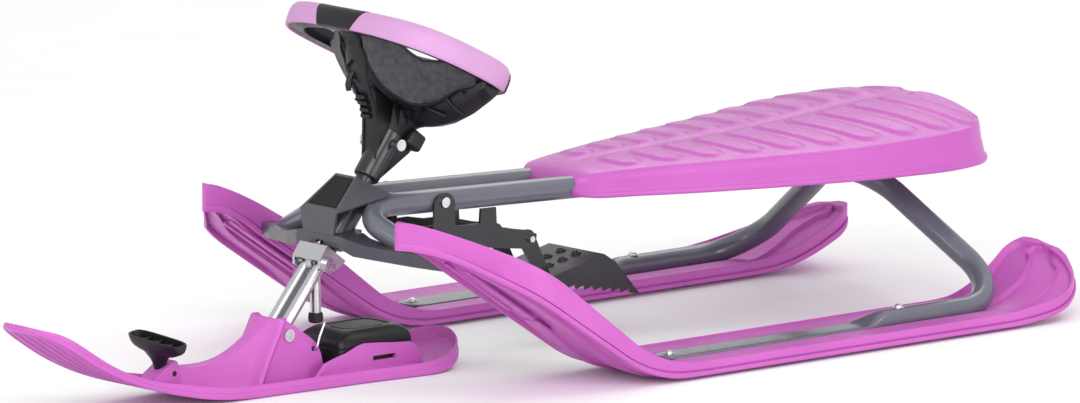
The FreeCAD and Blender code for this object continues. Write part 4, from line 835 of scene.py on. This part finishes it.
# grained facing on each web of the bowl, edged by a smooth bead
web = Shape()
rings = []
for i in range(41):
    a = lerp(15, 108, i / 40)
    t_, r_ = Vector(table(LOOP_TOP, a)), Vector(table(LOOP_RIDGE, a))
    m_ = (t_ - r_)
    nrm = V(0.80, 0.45, -0.42)
    row = []
    for k in range(9):
        f = lerp(0.04, 0.95, k / 8)
        p = r_ + m_ * f + nrm * (0.8 + 3.0 * (1 - abs(2 * f - 1) ** 2) * ss(62, 78, a))
        row.append(rp(*p))
    for k in range(8, -1, -1):
        f = lerp(0.04, 0.95, k / 8)
        p = r_ + m_ * f - nrm * 2.2
        row.append(rp(*p))
    rings.append(row)
web.add(loft(rings))
piece("wheel_web_left", web, BLACK_GRAIN, "steering", sharp=60)
piece("wheel_web_right", mirror(web), BLACK_GRAIN, "steering", sharp=60)
bead = Shape()
pr = []
for i in range(40):
    a = lerp(10, 112, i / 39)
    u, y, q = table(LOOP_RIDGE, a)
    pr.append(rp(u + 0.6, y + 0.4, q + 0.2))
bead.add(tube([rp(64, 13.0, -9)] + pr, 1.5, 10))
piece("wheel_bead_left", bead, PANEL, "steering", sharp=60)
piece("wheel_bead_right", mirror(bead), PANEL, "steering", sharp=60)

# ------------------------------------------------------------------ front ski
FSOLE = [(108, 0), (180, 0), (260, 0), (300, 0), (320, 0.4), (345, 2.0), (365, 4.6), (386, 8.6), (405, 13.0), (421, 17.2), (440, 23.0), (460, 30.2), (480, 38.8), (503, 50.6), (520, 61.0), (538, 72.6), (553, 81.6), (566, 87.4), (575, 90.2), (581, 91.4)]


def fs_sole(x):
    if x < 108:
        d = 108 - x
        return 130.0 - sqrt(130.0 ** 2 - d * d)
    return table(FSOLE, x)[0]


def fs_half(x):
    """Half width of the front ski."""
    if x > 522:
        t = clamp((x - 522) / 48.0)
        return 43.0 * sqrt(max(0.0003, 1 - t ** 2.5))
    if x > 300:
        return lerp(46.0, 43.0, (x - 300) / 222.0)
    if x > 180:
        return lerp(52.0, 46.0, (x - 180) / 120.0)
    if x > 108:
        return lerp(59.0, 52.0, (x - 108) / 72.0)
    t = clamp((108 - x) / 63.0)
    return 59.0 * sqrt(max(0.0003, 1 - t ** 2.3))


def fs_ring(x):
    h = fs_half(x)
    zs = fs_sole(x)
    fl_h = lerp(12.0, 9.0, ss(380, 450, x)) + 2.6 * ss(470, 520, x) * (1 - ss(525, 560, x)) - 2.8 * ss(540, 568, x) + 3.0 * (1 - ss(56, 120, x))
    zt = zs + fl_h
    floor = zs + 4.6
    k = min(1.0, h / 26.0)
    rib = 3.4 * ss(392, 420, x) * (1 - ss(546, 565, x)) * k
    wi = h - 4.6 * k
    if h < 8:
        wi, floor = h * 0.45, zt - 0.4
    st = min(5.6, 0.46 * fl_h)
    pts = [(h - 1.8 * k, zs), (h - 0.5 * k, zs + 0.7), (h, zs + 2.0), (h, zs + st), (h - 0.5 * k, zs + st + 0.5), (h - 1.1 * k, zs + st + 0.9), (h - 1.4 * k, zt - 1.0), (h - 2.0 * k, zt - 0.2), (h - 2.8 * k, zt),
           (wi + 0.5 * k, zt - 0.1), (wi - 0.1 * k, zt - 0.8), (wi - 0.9 * k, lerp(floor, zt, 0.45)), (wi - 2.6 * k, floor + 0.9), (wi - 5.5 * k, floor + 0.1), (wi * 0.7, floor), (wi * 0.35, floor)]
    ring = pts + [(-y, z) for y, z in reversed(pts)]
    under = []
    m = 5
    for i in range(m):
        c = lerp(-0.70, 0.70, i / (m - 1)) * h
        wr_ = 0.07 * h
        under += [(c - wr_ * 1.6, zs + rib), (c - wr_, zs + 0.2 * rib), (c - wr_ * 0.4, zs), (c + wr_ * 0.4, zs), (c + wr_, zs + 0.2 * rib), (c + wr_ * 1.6, zs + rib)]
    return [V(x, y, z) for y, z in ring + under]


fx = [45.02, 45.15, 45.4, 45.9, 46.6, 47.6, 49, 51, 53.5, 56.5, 60, 64, 69, 75, 82, 90, 99, 108] + [118 + 12 * i for i in range(22)] + [377 + 7.5 * i for i in range(20)]
fx += [x - 6 for x in (531, 536, 540, 544, 548, 552, 555.5, 559, 562.5, 565.5, 568, 570.2, 572, 573.4, 574.5, 575.2, 575.6, 575.85)]
fski = Shape().add(loft([fs_ring(x) for x in fx]))


def swell(sections, top_r=4.0):
    """Upright shell from (x, z bottom, z top, half width at bottom, half width at top) sections: flared foot and rounded top."""
    rings = []
    for x, z0, z1, w0, w1 in sections:
        r = min(top_r, 0.45 * w1, 0.4 * (z1 - z0))
        half = [(w0, z0), (lerp(w0, w1, 0.55), lerp(z0, z1, 0.22)), (lerp(w0, w1, 0.85), lerp(z0, z1, 0.5)), (w1, z1 - r), (w1 - 0.3 * r, z1 - 0.3 * r), (w1 - r, z1), (w1 * 0.3, z1 + 0.25)]
        rings.append([V(x, y, z) for y, z in half] + [V(x, -y, z) for y, z in reversed(half)])
    return loft(rings)


# spine from the handle socket up to the strut pocket
fski.add(swell([(412, 17.5, 20, 12, 8), (406, 15.5, 22, 13, 9), (398, 13.6, 25, 14, 9.5), (386, 11, 30, 15, 9.5), (376, 8, 32.3, 16, 9), (360, 5, 31.4, 18, 8.5), (345, 3, 31, 19, 8.5), (333, 3, 32.2, 20, 8.5), (321, 3, 34.6, 22, 8.5),
                (308, 3, 39.2, 23.5, 8.5), (297, 3, 44.6, 24.5, 8.5), (288, 3, 50, 25, 9), (280, 3, 55.6, 25, 9), (275.5, 3, 59.6, 25, 9.2), (272.5, 3, 62.4, 25, 9.4), (270.5, 3, 63, 24, 9.4)]))
# strut pocket: level, front, half width there, shoulder, half width, rear
LEV = [(3, 314, 9, 296, 25.5, 211), (8, 309, 9, 292, 24.4, 211.5), (14, 305, 9, 289, 23.6, 212), (20, 301.5, 9, 286, 23.0, 213), (28, 296, 9, 282, 22.5, 214.5), (35, 291.5, 9, 278, 22.2, 217.5), (40, 288, 9.2, 275.5, 22.0, 221.5), (46, 284, 9.4, 272, 21.8, 229),
       (51, 281, 9.6, 269, 21.7, 236.5), (56, 277.6, 9.8, 266.4, 21.6, 244), (60.5, 274.6, 10, 264.2, 21.5, 250.5), (63.6, 272.6, 10.2, 262.8, 21.3, 255), (65.6, 271, 10.4, 262, 20.8, 257.5), (66.6, 269.6, 10.6, 261.6, 20.0, 258.4)]
for s in (1, -1):
    rings = []
    for z, xf, wf, xs_, ws, xr in LEV:
        xi = min(266 + (z - 36) * 10 / 54.0, xf - 4.0)
        rings.append([V(x, s * y, z) for x, y in ((xr, 16.6), (xr, ws - 1.4), (xr + 1.2, ws - 0.2), (xr + 3, ws), (lerp(xr, xs_, 0.6), ws), (xs_ - 6, ws), (xs_ - 4.6, ws + 0.3), (xs_ - 3.0, ws + 1.8), (xs_ - 0.4, ws + 2.4), (xs_ + 2.2, ws + 1.4),
                      (xs_ + 3.8, ws - 1.2), (xs_ + 4.2, ws - 3.4), (lerp(xs_ + 4.2, xf, 0.6), lerp(ws - 3.4, wf, 0.72)), (xf - 1.2, wf + 0.5), (xf, wf - 1.4), (xf + 0.5, 0.0), (xi, 0.0), (xi, 14.6), (xi - 2, 16.6))])
    fski.add(loft(rings))
    # cradle wall round the box, swept up towards the strut pocket, with a long slot
    yo, yi = s * 37.4, s * 33.2

    def wall(poly):
        a, b = min(yo, yi), max(yo, yi)
        sh = slab(poly, a, b, 0.0)
        fski.add(([V(p.x, p.z, p.y) for p in sh[0]], [tuple(reversed(q)) for q in sh[1]]))
    wall([(100, 3), (136, 3), (136, 29.8), (116, 28.2), (110, 24), (105, 14)])
    wall([(136, 3), (164, 3), (164, 17), (136, 17)])
    wall([(136, 21.5), (164, 21.5), (164, 32.4), (136, 29.8)])
    wall([(164, 3), (236, 3), (231, 9), (222, 19.5), (208, 23.4), (195, 26.4), (187, 29.2), (181, 31.6), (175, 32.9), (164, 32.4)])
    # rolled top edge of that wall and the sloping skirt below it
    fski.add(tube([V(102, s * 35.3, 8), V(105, s * 35.3, 14), V(110, s * 35.3, 23.6), V(116, s * 35.3, 27.8), V(136, s * 35.3, 29.4), V(164, s * 35.3, 32), V(175, s * 35.3, 32.5), V(181, s * 35.3, 31.2), V(188, s * 35.3, 28.6), V(195, s * 35.3, 26),
                   V(208, s * 35.3, 23), V(222, s * 35.3, 19), V(230, s * 35.3, 11), V(236, s * 35.3, 4)], 2.1, 12))
    sk = []
    for x in (102, 108, 116, 126, 140, 160, 180, 200, 215, 228, 240, 250):
        hh = table([(102, 5), (110, 9), (120, 11.5), (160, 13), (190, 13.5), (215, 13), (232, 10), (250, 5.2)], x)[0]
        hw = fs_half(x)
        sk.append([V(x, s * 34.0, 3.5), V(x, s * 34.0, hh), V(x, s * 36.2, hh), V(x, s * lerp(37, hw - 4, 0.45), lerp(hh, 6.6, 0.55)), V(x, s * (hw - 3.4), 6.2), V(x, s * (hw - 3.4), 3.5)])
    fski.add(loft(sk))
fski.add(slab([(276, 3), (276, 34), (215, 34), (214, 3)], -17.4, 17.4, 0.0), XZ)
# socket block of the tow handle
HL = radians(8.0)
HD = V(sin(HL), 0, cos(HL))
SB = V(390.0, 0, 6)
sb_ = slab([(377, 9), (416, 18.2), (415, 20.5), (410.5, 22.4), (407, 26.4), (404.5, 28.4), (386.8, 39.6), (383.6, 40), (381.2, 37.6), (379, 24)], -11.6, 11.6, 2.2, 3)
fski.add(sb_, XZ)
piece("front_ski_body", fski, PINK, "front_ski", ("front_ski",), sharp=36)
# black discs at the cross hole in the socket block and at the wire holes: painted shade standing for the dark insides
# of the holes
hole_shade = Shape()
for s in (1, -1):
    hole_shade.add(lathe([(0, 0.25), (2.5, 0.25), (2.7, 0), (2.7, -2), (0, -2)], 20), place((386.0, s * 11.6, 27.6), (0, s, 0)))
    hole_shade.add(lathe([(0, 0.25), (2.2, 0.25), (2.4, 0), (2.4, -2), (0, -2)], 20), place((225, s * 22.45, 34), (0, s, 0)))
piece("front_ski_hole_shade_discs", hole_shade, RUBBER_AND_HOLE_SHADE, "front_ski", sharp=40)

# ------------------------------------------------------------------ cord box and tow handle
box = Shape()
box.add(slab([(112, 5.2), (199, 5.2), (200, 8), (200, 31), (110, 31), (110, 8)], -31.8, 31.8, 2.2, 3), XZ)
piece("retractor_base_body", box, BLACK, "front_ski", ("retractor_base",), sharp=36)


def rrect(hx, hy, r, cx=0.0, n=6):
    out = []
    for qx, qy, a0 in ((1, 1, 0), (-1, 1, 90), (-1, -1, 180), (1, -1, 270)):
        for k in range(n + 1):
            a = radians(a0 + 90.0 * k / n)
            out.append((cx + qx * (hx - r) + r * cos(a), qy * (hy - r) + r * sin(a)))
    return out


lid = Shape()
lr = []
for z, hx, hy, r, cx in ((31.3, 45, 32, 4, 155), (33, 45, 32, 4, 155), (36.5, 44.4, 31.6, 5, 155), (39, 43.2, 30.8, 6, 154.6), (42, 40.4, 28.8, 8, 154), (44.4, 37.4, 26.6, 10, 153.4), (45.8, 34.6, 24.6, 11, 153), (46.4, 32, 22.8, 12, 152.8),
                         (46.5, 30.6, 21.8, 12.5, 152.8), (46.2, 29.6, 21.0, 13, 152.8), (45.4, 29.0, 20.6, 13, 152.8), (45.2, 27.6, 19.4, 13, 152.8)):
    lr.append([V(x, y, z) for x, y in rrect(hx, hy, r, cx)])
lid.add(loft(lr))
piece("retractor_lid_body", lid, BLACK, "front_ski", ("retractor_lid",), sharp=40)
pan = Shape().add(slab(rrect(25, 16.6, 12, 152.8), 45.0, 46.0, 0.4, 2))
piece("retractor_lid_panel", pan, BLACK_GRAIN, "front_ski", sharp=36)

hd = Shape()
hrings = []


def soft(hx, hy, z, n=48):
    out = []
    for k in range(n):
        c, d = cos(2 * pi * k / n), sin(2 * pi * k / n)
        out.append(V((abs(c) ** 0.5) * hx * (1 if c >= 0 else -1), (abs(d) ** 0.5) * hy * (1 if d >= 0 else -1), z))
    return out


for z, hx, hy in ((-2.0, 5.0, 18.5), (0, 6.6, 26), (2.0, 7.8, 31), (4.5, 8.8, 33.8), (8, 9.6, 35.6), (11.2, 10.0, 36.4), (12.6, 9.7, 36.2), (13.0, 8.8, 35.4), (12.6, 8.0, 34.6), (6.4, 7.0, 33), (5.6, 6.0, 31.8)):
    hrings.append(soft(hx, hy, z))
HT = radians(4.0)                                             # the bar sits a little askew
HZ = V(sin(HL) * cos(HT), cos(HL) * sin(HT), cos(HL) * cos(HT))
HX = (cos(HL), 0, -sin(HL))
hd.add(loft(hrings), place(SB + HD * 43.0, HZ, HX))
srings = []
for z, hx, hy in ((4.8, 5.9, 5.9), (24, 5.9, 5.9), (28, 5.9, 6.0), (31.5, 6.0, 7.4), (36, 6.2, 11), (40, 6.6, 17), (43, 6.4, 22)):
    srings.append([V(hx * cos(2 * pi * k / 28), hy * sin(2 * pi * k / 28), z) for k in range(28)])
hd.add(loft(srings), place(SB, HD))
for y in (-17, 0, 17):
    hd.add(rbox(13.2, 1.8, 4.0, 0.5), place(SB + HD * 43.0 + HZ * 7.6 + V(0, y * cos(HT), -y * sin(HT)), HZ, HX))
piece("tow_handle_body", hd, BLACK, "tow_handle", ("tow_handle",), sharp=40)

# ------------------------------------------------------------------ strut, leg
st = Shape()
PV, FB = V(255, 0, 50), V(204.4, 0, 111)
d = (FB - PV).normalized()
for s in (1, -1):
    st.add(tube([PV - d * 6 + V(0, s * 9.6, 0), PV + d * 10 + V(0, s * 9.8, 0), PV + d * 40 + V(0, s * 9.8, 0), FB - d * 12 + V(0, s * 9.6, 0), FB + d * 6 + V(0, s * 9.4, 0)], [5.2, 5.6, 5.6, 5.6, 5.2], 24))
piece("ski_strut_tubes", st, ZINC, "steering", ("ski_strut",), sharp=50)
# the web takes the darker zinc copy: painted shade between the tubes
sw_ = Shape().add(rbox(19, 3.4, 52, 1.0), place(PV + d * 38, d, (0, 1, 0)))
piece("ski_strut_web", sw_, ZINC_WEB_SHADE, "steering", sharp=50)
lg = Shape()
lg.add(tube([V(203, 0, 57), V(203.2, 0, 70), V(203.8, 0, 95), V(204.2, 0, 103)], [5.0, 5.2, 5.2, 4.2], 24))
lg.add(lathe([(4.05, -4), (8.2, -4), (8.4, -3), (8.4, 3), (8.2, 4), (4.05, 4)], 28), place((204.4, 0, 111), (0, 1, 0)))
piece("stop_leg_body", lg, ZINC, "steering", ("stop_leg",), sharp=50)
bp_ = Shape().add(lathe([(0, 0), (5.8, 0), (7.0, 1.2), (7.2, 4), (6.8, 8.4), (6.0, 9.4), (0, 9.4)], 28), place((203, 0, 53.6), (0.03, 0, 1)))
piece("leg_bumper_body", bp_, RUBBER_AND_HOLE_SHADE, "steering", ("leg_bumper",), sharp=40)

# ------------------------------------------------------------------ brake: pressed rings of the tread, leg of the return spring
bk = Shape()
for i in range(3):
    for s in (1, -1):
        x = -78.0 - 17.0 * i
        bk.add(lathe([(2.6, -1.0), (2.9, 0.6), (3.5, 1.4), (4.4, 1.5), (5.2, 0.9), (6.0, -0.6)], 26), place((x, s * 11.0, 70.5 + (-50.0 - x) * 16.0 / 73.0), (0.214, 0, 0.977)))
piece("brake_plate_rings", bk, BRAKE, "brake", sharp=50)
bl = Shape().add(tube([V(-40, 8.4, 115.0), V(-46, 8.4, 112), V(-56, 8.2, 100), V(-64, 7.0, 88), V(-70, 4.0, 78.2), V(-74, -4.0, 77.4)], [1.2, 1.3, 1.3, 1.3, 1.3, 1.2], 12))
piece("brake_spring_leg", bl, BRIGHT, "brake", sharp=50)

# ------------------------------------------------------------------ carried-over nodes: materials and eased edges
MATS = {
    # the crossbar and head plates take the darker slate copy: painted shade
    "front_crossbar": SLATE_PLATE_SHADE, "head_plate": SLATE_PLATE_SHADE, "head_tube": SLATE_PLATE_SHADE, "head_web": SLATE_PLATE_SHADE, "seat_strap_front": SLATE, "seat_strap_rear": SLATE,
    "head_panel": PANEL, "head_bush_upper": BLACK, "head_bush_lower": BLACK, "crossbar_screws": BRIGHT, "seat_screws": BRIGHT,
    "brake_hanger": BRAKE, "hanger_rivets": BRIGHT, "brake_pin": BRIGHT, "brake_plate": BRAKE, "brake_spring": BRIGHT,
    "steering_shaft": BRAKE, "hub_screw": BRIGHT, "hub_nut": BRIGHT, "fork_bracket": ZINC, "fork_bolt": BRIGHT, 
    "pivot_rivet": BRIGHT, "pitch_spring": BRIGHT,
    "retractor_screws": BRIGHT, "spool_axle": BRIGHT, "cord_spool": BLACK}
EASE = {"front_crossbar": 2.5, "head_plate": 0.8, "brake_hanger": 0.7, "brake_plate": 0.7, "fork_bracket": 0.8, "head_web": 1.5}
for name, m in MATS.items():
    o = NODES[name]
    o.data.materials.clear()
    o.data.materials.append(m)
    for p in o.data.polygons:
        p.material_index = 0
    if name in EASE:
        md = o.modifiers.new("ease", "BEVEL")
        md.width = EASE[name] * MM
        md.segments = 2
        md.limit_method = "ANGLE"
        md.angle_limit = radians(32)

# ------------------------------------------------------------------ stage, light, camera
fm = material("pale_floor", (0.93, 0.93, 0.93), (0.91, 0.91, 0.91), 0.8, 0.03, bump=0.02, spec=0.2, fine=60)
me = bpy.data.meshes.new("floor")
me.from_pydata([(-30, -30, -0.0006), (30, -30, -0.0006), (30, 30, -0.0006), (-30, 30, -0.0006)], [], [(0, 1, 2, 3)])
fl = bpy.data.objects.new("floor", me)
scene.collection.objects.link(fl)
me.materials.append(fm)

scene.view_settings.view_transform = "Standard"
w = bpy.data.worlds.new("studio")
scene.world = w
w.use_nodes = True
bg = w.node_tree.nodes["Background"]
bg.inputs["Color"].default_value = (1.0, 1.0, 1.0, 1)
bg.inputs["Strength"].default_value = 0.85


def area(name, at, to, size, power, colour=(1, 1, 1)):
    ld = bpy.data.lights.new(name, "AREA")
    ld.energy = power
    ld.size = size
    ld.color = colour
    o = bpy.data.objects.new(name, ld)
    o.location = at
    o.rotation_euler = (Vector(to) - Vector(at)).to_track_quat("-Z", "Y").to_euler()
    scene.collection.objects.link(o)
    return o


area("key", (2.1, 2.5, 2.0), (0, 0, 0.12), 1.8, 56)
area("low_fill", (-0.3, 2.6, 0.4), (-0.15, -0.2, 0.03), 1.2, 19)
area("left", (3.2, 0.3, 1.0), (0.2, 0, 0.2), 1.2, 16)
area("strip", (-1.5, 1.4, 2.7), (-0.4, 0.1, 0.16), 0.5, 8)
area("rim", (-2.4, -1.6, 2.4), (0, 0, 0.15), 1.6, 14)

cam_d = bpy.data.cameras.new("camera")
cam = bpy.data.objects.new("camera", cam_d)
scene.collection.objects.link(cam)
scene.camera = cam
# view direction: azimuth 41 degrees off the length, 9.8 degrees above the ground
A_, E_ = radians(41.0), radians(9.8)
back = V(sin(A_) * cos(E_), cos(A_) * cos(E_), sin(E_))
right = V(-cos(A_), sin(A_), 0)
upv = right.cross(back) * -1 if right.cross(back).z < 0 else right.cross(back)
S_PX = 1053.0                                                  # pixels per metre in a 1080 wide frame
target = V(0, 0, 0) + right * ((540.0 - 479.0) / S_PX) + upv * ((352.8 - 201.5) / S_PX)
DIST = 17.0
cam.location = target + back * DIST
rot = Matrix((right, upv, back)).transposed()
cam.rotation_euler = rot.to_euler()
cam_d.sensor_width = 36.0
cam_d.lens = 36.0 * DIST / (1080.0 / S_PX)
cam_d.clip_end = 100.0
